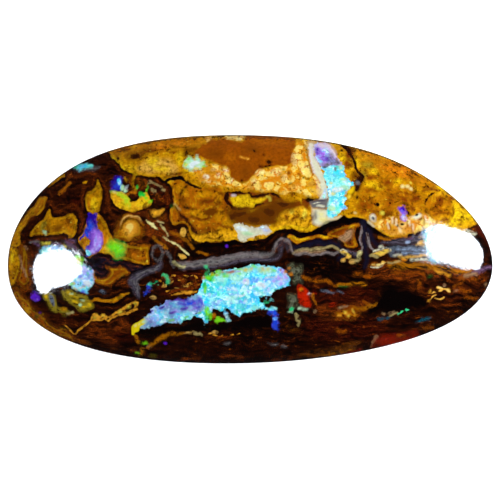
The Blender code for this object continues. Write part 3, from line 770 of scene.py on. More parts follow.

# Grey, rose and navy bands that run with the dark ironstone, and pale blue-white painted glare on the grey
# bands beside the right soft box's reflection.
BAND_LINES_AND_PAINTED_GLARE = group(
    areas(Tone.OLIVE_GREY, SOFT, (3, -1.4, 3.3, -1.15, 3.7, -1.3, 4.1, -1.2, 4.2, -1.7, 4, -2.1, 4.15, -2.6,
        3.7, -2.5, 3.5, -2.8, 3.2, -2.4, 3.1, -1.9), (3, -3.6, 3.25, -3.4, 3.65, -3.6, 3.7, -4.2,
        3.85, -4.6, 3.4, -4.7, 2.9, -4.5, 3.1, -4.1)),
    spots(Tone.ASH, SOFT, (3.85, -1.6, 0.3, 0.3), (3.5, -1.7, 0.24, 0.4), (3.4, -3.95, 0.3, 0.4),
        (3.2, -4.35, 0.3, 0.2), (3.8, -2.3, 0.2, 0.3)),
    spots(Tone.UMBER, SOFT, (3.35, -2.2, 0.3, 0.4), (3.85, -2, 0.2, 0.2), (3.55, -4.3, 0.2, 0.3),
        (3.6, -1.35, 0.2, 0.16)),
    veins(Tone.NAVY, SOFT, (0.3, 0.4, 0.4, 0.4, 0.4, 0.3, 0.5, 0.3), (3.4, 0.2, 4.2, 0.2, 5.2, 0.5, 6, 0.55,
        6.8, 0.4, 7.3, 0.1, 7.4, -0.5, 7, -0.8)),
    veins(Tone.NAVY, SOFT, (0.5, 0.3, 0.4, 0.5, 0.3), (8.95, 2.1, 8.95, 1.2, 9.05, 0.2, 9.2, -0.6,
        9.15, -1.5)),
    veins(Tone.NAVY, SOFT, 0.35, (9.3, 1.5, 9.7, 0.8, 10.2, 0.3)),
    veins(Tone.SLATE, SOFT, (0.1, 0.24, 0.24, 0.3, 0.3, 0.25, 0.2, 0.16, 0.1), (-5.6, -1.5, -4.4, -1.45,
        -3, -1.4, -1.2, -0.95, 0, -0.75, 1.4, -0.8, 2.2, -0.6, 2.4, -0.1, 2.5, 0.3)),
    veins(Tone.GREY, SOFT, (0.16, 0.36, 0.48, 0.5, 0.5, 0.42, 0.38, 0.3, 0.26, 0.22, 0.18, 0.12),
        (-5.9, -1.15, -5.3, -1.25, -4.6, -1.2, -4, -1.15, -3, -1.02, -2, -0.78, -1, -0.55, 0, -0.46,
        1, -0.48, 1.65, -0.38, 1.9, -0.05, 1.95, 0.2)),
    veins(Tone.ROSE_GREY, SOFT, 0.1, (-5.5, -1.1, -4.4, -0.98, -3.2, -0.85, -2, -0.6, -0.8, -0.4,
        0.6, -0.36), (-5.2, -1.35, -4, -1.35, -2.8, -1.2, -1.4, -0.8, 0, -0.6, 1.4, -0.6)),
    veins(Tone.BUTTER, SOFT, 0.14, (-5.95, -1.05, -5.8, -1.3, -5.5, -1.38, -5.1, -1.3)),
    veins(Tone.SLATE, SOFT, (0.16, 0.34, 0.4, 0.55, 0.8, 0.6, 0.2), (-7.1, -0.9, -7.3, -1.5, -8, -1.8,
        -8.8, -2.05, -9.3, -2.5, -9.15, -3, -8.8, -3.8)),
    veins(Tone.GREY, SOFT, 0.1, (-7.25, -1.3, -7.6, -1.7, -8.3, -1.8, -9, -2.1), (-9.5, -2.4, -9.2, -2.7,
        -8.95, -3.4), (-8.6, -2.2, -9, -2.5, -8.8, -3.1), (-7.6, 0.1, -7.15, 0.3, -6.9, -0.1, -7, -0.7,
        -7.4, -0.9, -7.7, -0.5, -7.6, 0.1)),
    veins(Tone.GREY, SOFT, 0.13, (-6.6, -0.1, -6.3, -0.6, -6.2, -1.1, -6, -1.4)),
    veins(Tone.ROSE_GREY, SOFT, 0.14, (1.9, 0, 2.1, 0.4, 2.4, 0.75, 2.8, 0.75, 3.15, 0.4, 3.35, -0.1,
        3.5, -0.3)),
    veins(Tone.SLATE, SOFT, 0.08, (2.2, 0, 2.35, 0.35, 2.6, 0.5, 2.85, 0.3, 2.95, -0.1)),
    veins(Tone.STRAW, SOFT, (0.1, 0.2, 0.22, 0.2, 0.2, 0.2, 0.16, 0.12, 0.06), (3.4, -0.25, 3.8, -0.08,
        4.4, -0.08, 5, 0, 5.5, 0.1, 6.1, 0.28, 6.6, 0.18, 7.1, -0.1, 7.5, -0.5)),
    veins(Tone.TAN, SOFT, 0.2, (3.6, -0.2, 4.4, -0.2, 5.2, -0.18, 5.9, -0.05)),
    veins(Tone.ROSE_GREY, SOFT, 0.16, (3.6, -0.42, 4, -0.36, 4.5, -0.33, 5.2, -0.42, 6, -0.28, 6.4, -0.36,
        6.9, -0.25)),
    veins(Tone.SLATE, SOFT, 0.28, (7.5, 0, 7.9, -0.2, 8.3, -0.5)),
    veins(Tone.ROSE_GREY, CRISP, (0.06, 0.16, 0.14, 0.12, 0.12, 0.06), (8.72, 1.9, 8.75, 1.3, 8.62, 0.9,
        8.66, 0.4, 8.8, 0.05, 8.6, -0.3)),
    veins(Tone.ROSE_GREY, CRISP, (0.06, 0.15, 0.14, 0.14, 0.06), (9.12, 1.25, 9.3, 0.9, 9.48, 0.5,
        9.64, 0.05, 9.8, -0.1)),
    areas(Tone.TAN, SOFT, (7, 0.9, 7.4, 1.1, 7.6, 1.45, 8, 1.62, 8.2, 1.4, 8.1, 1, 7.8, 0.75, 7.5, 0.62,
        7.1, 0.72)),
    veins(Tone.SLATE, SOFT, (0.1, 0.3, 0.5, 0.5, 0.6, 0.5), (10.4, 0.6, 11.2, 0.5, 12.2, 0.6, 13.2, 0.8,
        14, 1.1, 14.5, 1.3)),
    veins(Tone.STEEL, SOFT, 0.12, (10.4, -0.05, 11.2, 0.05, 12.2, 0.15, 13.4, 0.12, 14.3, 0.2), (11, -0.2,
        11.8, -0.1, 12.8, -0.05, 13.6, -0.12, 14.3, -0.1), (11.2, -0.4, 12, -0.35, 12.8, -0.32, 13.6, -0.4,
        14.2, -0.35)),
    # Painted glare: pale blue-white lines on the grey bands, near the right soft box's mirror image.
    veins(Tone.ICE, SOFT, 0.07, (11.6, -0.03, 12.4, 0.05, 13.4, 0, 14.3, 0.05), (12, -0.22, 12.9, -0.2,
        13.6, -0.26, 14.2, -0.22)),
    spots(Tone.PLUM, SOFT, (13.9, 1.2, 0.8, 0.4), (-14.2, 0.6, 0.7, 0.5), (12.6, 0.75, 0.8, 0.2, 10)),
    spots(Tone.TAN, SOFT, (13.7, 0.9, 0.6, 0.2)),
    spots(Tone.GREY, SOFT, (1.85, -7.5, 0.5, 0.12), (2.7, -7.7, 0.5, 0.14), (-8.1, -7.7, 0.3, 0.16),
        (-1.85, -7.5, 0.5, 0.16, 10)),
    veins(Tone.PLUM, SOFT, 0.26, (17.8, -1.9, 18.3, -1.6, 18.9, -1.4, 19.3, -1.4)),
    veins(Tone.TAN, SOFT, 0.16, (17, -2.25, 17.5, -2.05, 18, -1.9)),
    veins(Tone.STEEL, SOFT, 0.1, (5.7, -3.2, 6, -3.3, 6.2, -3.45, 6.5, -3.45), (6.9, -3.3, 7.3, -3.42)),
    veins(Tone.UMBER, SOFT, 0.1, (14.6, -5.6, 15.4, -5.3, 16.1, -5.1), (15.3, -5.1, 15.9, -4.95,
        16.4, -4.75)),
    areas(Tone.GREY, SOFT, (-14, 6.3, -13, 6.45, -12, 6.55, -12.1, 6.35, -13, 6.2)),
    veins(Tone.RUST, SOFT, 0.13, (-17.6, 2.3, -16.7, 3.2, -15.9, 3.8, -15.3, 3, -14.6, 3.25, -13.9, 3.4,
        -13.45, 2.8, -13.25, 2, -13.5, 1.4), (-14, 0.5, -14.7, 0.85, -15.6, 0.85, -17, 0.75), (-11.55, 5.2,
        -11.3, 4.4, -11.3, 3.6, -11.15, 2.9, -10.7, 2.4), (-13.3, 5, -13.4, 4.2, -13.4, 3.4), (-14.7, 5.9,
        -13.7, 5.8, -12.8, 6, -12.1, 5.9), (-9.6, 2.9, -8.6, 2.75, -7.9, 2.4), (-7.5, 5.5, -6.8, 4.6,
        -6.5, 3.6)),
)

# Gold, orange and cream threads and small bright lenses over the dark ironstone, and last a cream line of
# painted glare along the right soft box's reflection.
THREADS_AND_PAINTED_GLARE = group(
    veins(Tone.YELLOW, CRISP, 0.1, (-11.1, 7.6, -10.8, 7.2, -10.5, 6.8, -10, 6.4, -9.4, 6.1, -9, 5.9)),
    veins(Tone.ORANGE, SOFT, 0.13, (-14.8, 4.7, -14.6, 5, -14.35, 5.25), (-15.2, 4.4, -15, 4.6),
        (-9.75, 4.3, -9.4, 4.55, -9.1, 4.4), (-12.6, -1.8, -12.45, -2.05, -12.3, -2.3), (4.9, -3.7, 5, -4,
        5.2, -4.3)),
    veins(Tone.SIENNA, SOFT, 0.1, (-14.6, 5.5, -14.3, 6), (-9.6, 5.6, -9.4, 5.2), (-8.9, 5.6, -8.7, 5),
        (-8.3, 5.5, -8.2, 5), (-7.3, 4.3, -6.9, 3.8)),
    spots(Tone.GOLD, CRISP, (-13.15, 5.3, 0.3, 0.26)),
    veins(Tone.AMBER, SOFT, 0.16, (-10.25, 2.1, -9.95, 2.6, -9.5, 2.7, -9.1, 2.5, -8.7, 2.25, -8.5, 2)),
    veins(Tone.TOFFEE, SOFT, 0.1, (-9.6, 0.42, -9.2, 0.38, -8.6, 0.3, -7.9, 0.34)),
    veins(Tone.BUTTER, CRISP, (0.1, 0.24, 0.2, 0.08), (-8.15, 2.4, -7.8, 2, -7.6, 1.65, -7.3, 1.4)),
    veins(Tone.STRAW, CRISP, 0.14, (-7.4, 2.25, -6.8, 2), (-7.05, 1.85, -6.7, 1.45, -6.5, 1.1), (-6.9, 1,
        -6.3, 0.6)),
    veins(Tone.BUTTER, CRISP, (0.1, 0.16, 0.14, 0.06), (-6.6, 0.85, -6, 0.4, -5.3, 0, -4.75, -0.42)),
    veins(Tone.AMBER, SOFT, 0.14, (-6.2, 1.4, -5.6, 1, -5, 0.6, -4.5, 0.2), (-7.6, 0.9, -7, 0.4, -6.6, 0.1),
        (-4.2, -0.1, -3.8, -0.35, -3.4, -0.45)),
    veins(Tone.STRAW, SOFT, 0.08, (-7.9, 5.3, -7.3, 5.1, -7.1, 4.9, -6.95, 4.6), (-5.95, 3.6, -5.7, 3.4,
        -5.5, 3.2), (-7.75, 4.75, -7.5, 4.55)),
    veins(Tone.GOLD, SOFT, 0.12, (-9.2, 5.9, -9.3, 5.4, -9.3, 5, -9, 4.7), (-9.95, 5.65, -9.85, 5.4)),
    veins(Tone.SIENNA, SOFT, 0.18, (-10.4, -1.5, -10.55, -1.9, -10.7, -2.2, -11.2, -2.5, -11.5, -2.7,
        -11.1, -2.9), (-10.6, -2.1, -10.2, -1.9, -9.9, -1.7)),
    veins(Tone.TAN, SOFT, 0.07, (-18.3, -0.5, -18.15, -1, -18.1, -1.5), (-18, 0.2, -17.8, -0.1),
        (-17.9, -1.6, -17.8, -2.2)),
    veins(Tone.LEMON, SOFT, 0.2, (-16.5, 0.45, -16.2, 0.5, -15.9, 0.4), (-14.9, 0.2, -14.6, 0.35)),
    veins(Tone.PLUM, SOFT, 0.2, (-17.2, 0.5, -16.8, 0.3), (-15.6, 0.3, -15.2, 0.35), (-14.6, 0.7,
        -14.1, 0.3, -13.8, -0.2)),
    veins(Tone.GREY, SOFT, 0.1, (-14.7, 0.55, -14.2, 0.2, -13.9, -0.3), (-17.5, 0.4, -17.1, 0.6,
        -16.8, 0.6)),
    areas(Tone.MOSS, SOFT, (-16.5, -3.5, -16, -3.4, -15.6, -3.6, -15.3, -4.4, -15.4, -4.9, -15.9, -4.8,
        -16.2, -4.2)),
    veins(Tone.MOSS, SOFT, (0.1, 0.4, 0.2), (-15.3, -4.6, -14.9, -4.9, -14.4, -5.1)),
    areas(Tone.MOSS, SOFT, (-14.9, -3.3, -14.4, -3.2, -13.9, -3.5, -13.2, -3.7, -12.7, -4.1, -12.4, -4.6,
        -12.9, -4.8, -13.6, -4.9, -13.9, -4.6, -14.4, -4.2, -14.8, -3.8)),
    spots(Tone.YELLOW, SOFT, (-13.9, -4.2, 0.5, 0.2, -30), (-13.1, -4.6, 0.5, 0.16),
        (-14.4, -3.5, 0.4, 0.16, -30), (-12.7, -4.4, 0.3, 0.3)),
    spots(Tone.PALE_GREEN, SOFT, (-13.5, -4.45, 0.3, 0.24, 10), (-14.2, -3.6, 0.3, 0.14),
        (-13.3, -4.1, 0.4, 0.1, -20)),
    spots(Tone.UMBER, SOFT, (-13.6, -3.95, 1.1, 0.12, -8), (-13.9, -4.4, 0.4, 0.12, -40)),
    spots(Tone.GOLD, SOFT, (-14.8, -4.75, 0.5, 0.3, -20), (-9.9, -0.8, 0.2, 0.1)),
    spots(Tone.STEEL, SOFT, (-15.75, -4.1, 0.4, 0.9, 15), (-11.7, -3.4, 0.24, 0.2)),
    spots(Tone.YELLOW, SOFT, (-16.2, -3.75, 0.2, 0.4, 10), (-14, -3.8, 0.7, 0.1, -20)),
    spots(Tone.OLIVE, SOFT, (-14.8, -5.2, 0.4, 0.26), (-17, -5.4, 0.5, 0.3, -40), (-7.7, -8.5, 0.6, 0.3)),
    veins(Tone.BUTTER, SOFT, 0.08, (-14.6, -5.15, -14.1, -5.1)),
    veins(Tone.BRIGHT_ORANGE, CRISP, (0.06, 0.12, 0.14, 0.12, 0.16, 0.14, 0.16, 0.12, 0.16, 0.12, 0.16,
        0.12, 0.18, 0.18, 0.16, 0.12, 0.08), (-14.8, -6.1, -14.4, -6.5, -13.9, -6.7, -13.4, -6.3,
        -13, -5.95, -12.7, -5.65, -12.4, -5.2, -12, -5.3, -11.6, -5.15, -11.2, -5.25, -10.8, -5.05,
        -10.3, -4.9, -9.8, -4.6, -9.5, -4.4, -9.1, -4.2, -8.9, -4.3, -9.1, -4.6)),
    spots(Tone.LEMON, SOFT, (-12.3, -5.35, 0.3, 0.16, 40), (-11.6, -5.2, 0.3, 0.14), (-10.3, -5, 0.3, 0.16),
        (-9.6, -4.6, 0.3, 0.16, 30), (-9.1, -4.3, 0.24, 0.14)),
    veins(Tone.BRIGHT_ORANGE, CRISP, 0.14, (-12.7, -5.65, -12.2, -5.55, -11.7, -5.45, -11.3, -5.25),
        (-11.3, -5.6, -10.9, -5.4, -10.3, -5.25, -9.9, -5.1, -9.5, -4.95, -9, -4.7), (-12.4, -5.2,
        -12.1, -5.5), (-11.6, -5.15, -11.5, -5.5), (-10.8, -5.05, -10.7, -5.35), (-10, -4.75, -9.9, -5.1)),
    veins(Tone.OCHRE, SOFT, (0.2, 0.3, 0.26, 0.2, 0.14, 0.06), (-8.2, -7.8, -7.5, -7.3, -7, -6.95,
        -6.4, -6.75, -5.9, -6.6, -5.2, -6.62)),
    spots(Tone.LIME, SOFT, (-8.4, -7.45, 0.3, 0.2, 20), (-8.9, -8.3, 0.3, 0.12)),
    veins(Tone.OCHRE, SOFT, 0.16, (-8.6, -7.9, -8.65, -8.4), (-9.2, -6.9, -8.9, -7.4)),
    spots(Tone.PEACH, SOFT, (-4.9, -6.65, 0.5, 0.1, 5), (-7.7, -3.8, 0.3, 0.2), (-2.9, -6.62, 0.4, 0.14),
        (8.12, -1, 0.36, 0.18, 10), (7.4, -0.97, 0.4, 0.16, 15)),
    veins(Tone.HONEY, CRISP, 0.06, (-7, -2.9, -6.6, -2.8), (-5.4, -2.9, -5, -2.9), (-4.9, -2.3, -4.6, -2.2),
        (-6.4, -2.6, -6.1, -2.5), (-5.9, -3, -5.6, -3.05)),
    veins(Tone.BRIGHT_ORANGE, CRISP, 0.07, (-7.2, -2.5, -6.8, -2.7), (-3.2, -6.6, -2.9, -6.65), (-3, -6.82,
        -2.6, -6.87, -2.2, -6.85), (-1.5, -6.75, -1.25, -6.76), (-0.95, -6.8, -0.75, -6.8), (-5.6, -2.5,
        -5.3, -2.4), (-5, -2.8, -4.7, -2.7), (-6.2, -2.1, -5.9, -2.15), (-5.2, -2.1, -5, -2.2), (-4.4, -2.2,
        -4.2, -2.3), (-4.2, -2.8, -4, -2.7), (-6.6, -3.2, -6.3, -3.15)),
    veins(Tone.BRIGHT_ORANGE, CRISP, (0.04, 0.2, 0.24, 0.04), (-6.3, -3.65, -5.5, -3.5, -4.8, -3.35,
        -4.1, -3.25)),
    veins(Tone.RUST, SOFT, 0.2, (-6.2, -3.3, -5.5, -3.2, -4.6, -3.05), (-4.4, -2.6, -4.1, -2.9),
        (-5.5, -2.3, -5.2, -2.6), (-6.9, -2.3, -6.3, -2.4)),
    veins(Tone.STRAW, SOFT, 0.1, (3.65, -5.2, 3.75, -5.6, 3.95, -5.7, 3.85, -6), (8.3, -0.95, 8.5, -0.82,
        8.62, -0.7), (-4.4, -6.68, -3.9, -6.7), (10.9, -1.05, 11.4, -1.08, 11.8, -0.98), (9.55, -0.5,
        9.8, -0.45, 10, -0.6)),
    spots(Tone.ORANGE, SOFT, (2.75, -1.85, 0.26, 0.24), (3.25, -1.95, 0.24, 0.2), (12.2, -0.75, 0.4, 0.2),
        (8.4, 1.95, 0.4, 0.14)),
    areas(Tone.RED, SOFT, (3.74, -2.8, 4.1, -2.85, 4.4, -3.2, 4.55, -3.7, 4.75, -4.2, 4.7, -4.6, 4.3, -4.62,
        4, -4.3, 3.8, -3.7)),
    spots(Tone.ORANGE, SOFT, (4, -3.1, 0.3, 0.3)),
    spots(Tone.PINK_WHITE, CRISP, (4.55, -3.58, 0.12, 0.12)),
    veins(Tone.SAGE, SOFT, 0.14, (3.9, -4.75, 4.25, -4.85, 4.5, -4.8), (2.95, -4.9, 3.3, -4.95)),
    spots(Tone.TAN, SOFT, (5.12, -4.9, 0.2, 0.14), (15.4, -2.85, 0.2, 0.14), (16.3, -3.4, 0.2, 0.14),
        (18.8, -2.9, 0.2, 0.16), (10.6, -5.15, 0.2, 0.1)),
    veins(Tone.TOFFEE, SOFT, (0.2, 0.16, 0.1, 0.12, 0.14, 0.16, 0.14, 0.06), (4.2, -2.15, 4.5, -2.3,
        5, -2.45, 5.5, -2.5, 5.9, -2.42, 6.3, -2.6, 6.6, -2.85, 6.8, -2.95)),
    veins(Tone.RUST, SOFT, 0.1, (5.1, -2.3, 5.5, -2.15), (5.1, -2.9, 5.4, -3), (6.1, 1.4, 6.6, 1.28, 7, 1.3,
        7.4, 1.6, 8.1, 1.93), (8, 1.75, 8.2, 1.2, 8.15, 0.6)),
    veins(Tone.UMBER, SOFT, 0.1, (6.3, 1.55, 6.9, 1.5, 7.3, 1.72), (7.6, 1.5, 8, 1.68), (7.2, 0.5,
        7.7, 0.55, 8, 0.8)),
    areas(Tone.HONEY, CRISP, (7.15, -0.15, 7.5, -0.1, 7.8, -0.4, 8.05, -0.7, 7.75, -0.82, 7.4, -1,
        7.2, -0.95, 7.55, -0.75, 7.6, -0.55, 7.4, -0.32)),
    spots(Tone.LEMON, SOFT, (7.75, -0.5, 0.4, 0.08, -50), (7.45, -0.2, 0.3, 0.06, -20)),
    areas(Tone.BUTTER, SOFT, (8.48, -0.62, 8.75, -0.3, 8.62, -0.22, 8.45, -0.42)),
    areas(Tone.HONEY, CRISP, (9.75, -0.3, 10.2, -0.18, 10.7, -0.08, 11.2, -0.1, 10.8, -0.32, 10.3, -0.46,
        10, -0.4)),
    spots(Tone.LEMON, SOFT, (10.3, -0.3, 0.6, 0.08, 10), (10.8, -0.2, 0.4, 0.06)),
    areas(Tone.HONEY, CRISP, (10.25, -0.85, 10.5, -0.95, 10.65, -1.05, 10.35, -1.22, 9.9, -1.36, 9.6, -1.34,
        9.85, -1.22, 10.25, -1.08)),
    spots(Tone.BUTTER, SOFT, (10.2, -1.2, 0.5, 0.08, 20)),
    spots(Tone.IVORY, SOFT, (10.3, 0.2, 0.24, 0.22)),
    veins(Tone.IVORY, CRISP, 0.06, (9.75, -0.15, 10.3, -0.02, 10.8, 0.06, 11.2, -0.06), (9.6, -1.44,
        10, -1.45, 10.4, -1.33), (7.1, -0.08, 7.45, 0.02, 7.75, -0.25)),
    veins(Tone.AMBER, SOFT, 0.16, (10.2, 1.02, 10.7, 0.88, 11.2, 0.8, 11.8, 0.98, 12.3, 1.05)),
    areas(Tone.HONEY, SOFT, (13.1, 0.38, 13.6, 0.58, 14.1, 0.58, 14, 0.38, 13.6, 0.28)),
    veins(Tone.HONEY, SOFT, 0.2, (11.8, -0.5, 12.2, -0.62, 12.6, -0.55, 13.1, -0.5), (13.3, -0.5,
        13.7, -0.4, 14.1, -0.45)),
    veins(Tone.IVORY, SOFT, 0.1, (12.8, -0.75, 13.5, -0.78, 14, -0.85), (11.5, -0.45, 11.9, -0.45)),
    veins(Tone.BRIGHT_ORANGE, SOFT, (0.12, 0.24, 0.2, 0.1), (14.6, -1.6, 14.95, -1.85, 15.4, -1.95,
        15.9, -2.1)),
    spots(Tone.BRIGHT_ORANGE, SOFT, (14.35, -3.35, 0.22, 0.16), (14.2, -4, 0.26, 0.1),
        (15.75, -3.25, 0.24, 0.3, 40), (9.45, -4.42, 0.3, 0.14)),
    veins(Tone.SIENNA, SOFT, 0.14, (13.3, -2.6, 13.45, -2.75, 13.35, -3.05), (16.7, -3.3, 17.1, -3.35,
        17.5, -3.3), (17.2, -3.8, 17.6, -3.9, 18, -3.95), (17.7, -2.3, 18.1, -2.25), (14, -6.35,
        14.5, -6.28), (16.2, -2.9, 16.7, -2.8), (12.5, -2, 13.1, -1.9, 13.7, -2), (11.2, -1.9, 11.9, -1.8),
        (9, -4.2, 9.2, -4.32, 9.4, -4.4), (16.6, -2.2, 16.9, -2.45)),
    veins(Tone.OCHRE, SOFT, 0.16, (11.9, -6.85, 12.2, -6.95, 12.3, -7.15)),
    veins(Tone.TAN, SOFT, 0.09, (9.7, -7.8, 9.82, -7.4, 10.05, -6.95), (7, -4.68, 7.3, -4.58, 7.6, -4.55),
        (11, -5, 11.3, -4.98)),
    areas(Tone.SIENNA, HAZY, (6.6, -5.2, 7.1, -5, 7.5, -4.8, 7.9, -4.7, 8.3, -4.8, 8.6, -4.9, 8.5, -5.2,
        8.2, -5.4, 7.8, -5.5, 7.5, -5.4, 7, -5.4)),
    veins(Tone.AMBER, SOFT, 0.14, (6.9, -5.05, 7.3, -5.1, 7.7, -4.9), (7.8, -5.2, 8.2, -5.3, 8.5, -5.1)),
    veins(Tone.BRIGHT_ORANGE, SOFT, 0.12, (7.35, -4.88, 7.6, -5.1, 7.85, -5.4), (8.1, -4.9, 8.35, -5.15),
        (7, -5.2, 7.25, -5.25)),
    spots(Tone.LEMON, SOFT, (7.5, -5, 0.2, 0.1, -40), (8.2, -5, 0.2, 0.1, -40), (7.75, -5.3, 0.14, 0.1)),
    veins(Tone.AMBER, SOFT, 0.1, (8.2, -4.75, 8.6, -4.78, 9, -4.65, 9.4, -4.45, 9.9, -4.42, 10.02, -4.3)),
    veins(Tone.STRAW, SOFT, 0.08, (11.1, -5.28, 11.4, -5.15, 11.7, -5.02)),
    # Painted glare: a cream fringe along the upper edge of the right soft box's mirror image.
    veins(Tone.IVORY, SOFT, 0.16, (17, 1.4, 17.5, 1.42, 17.95, 1.25)),
)
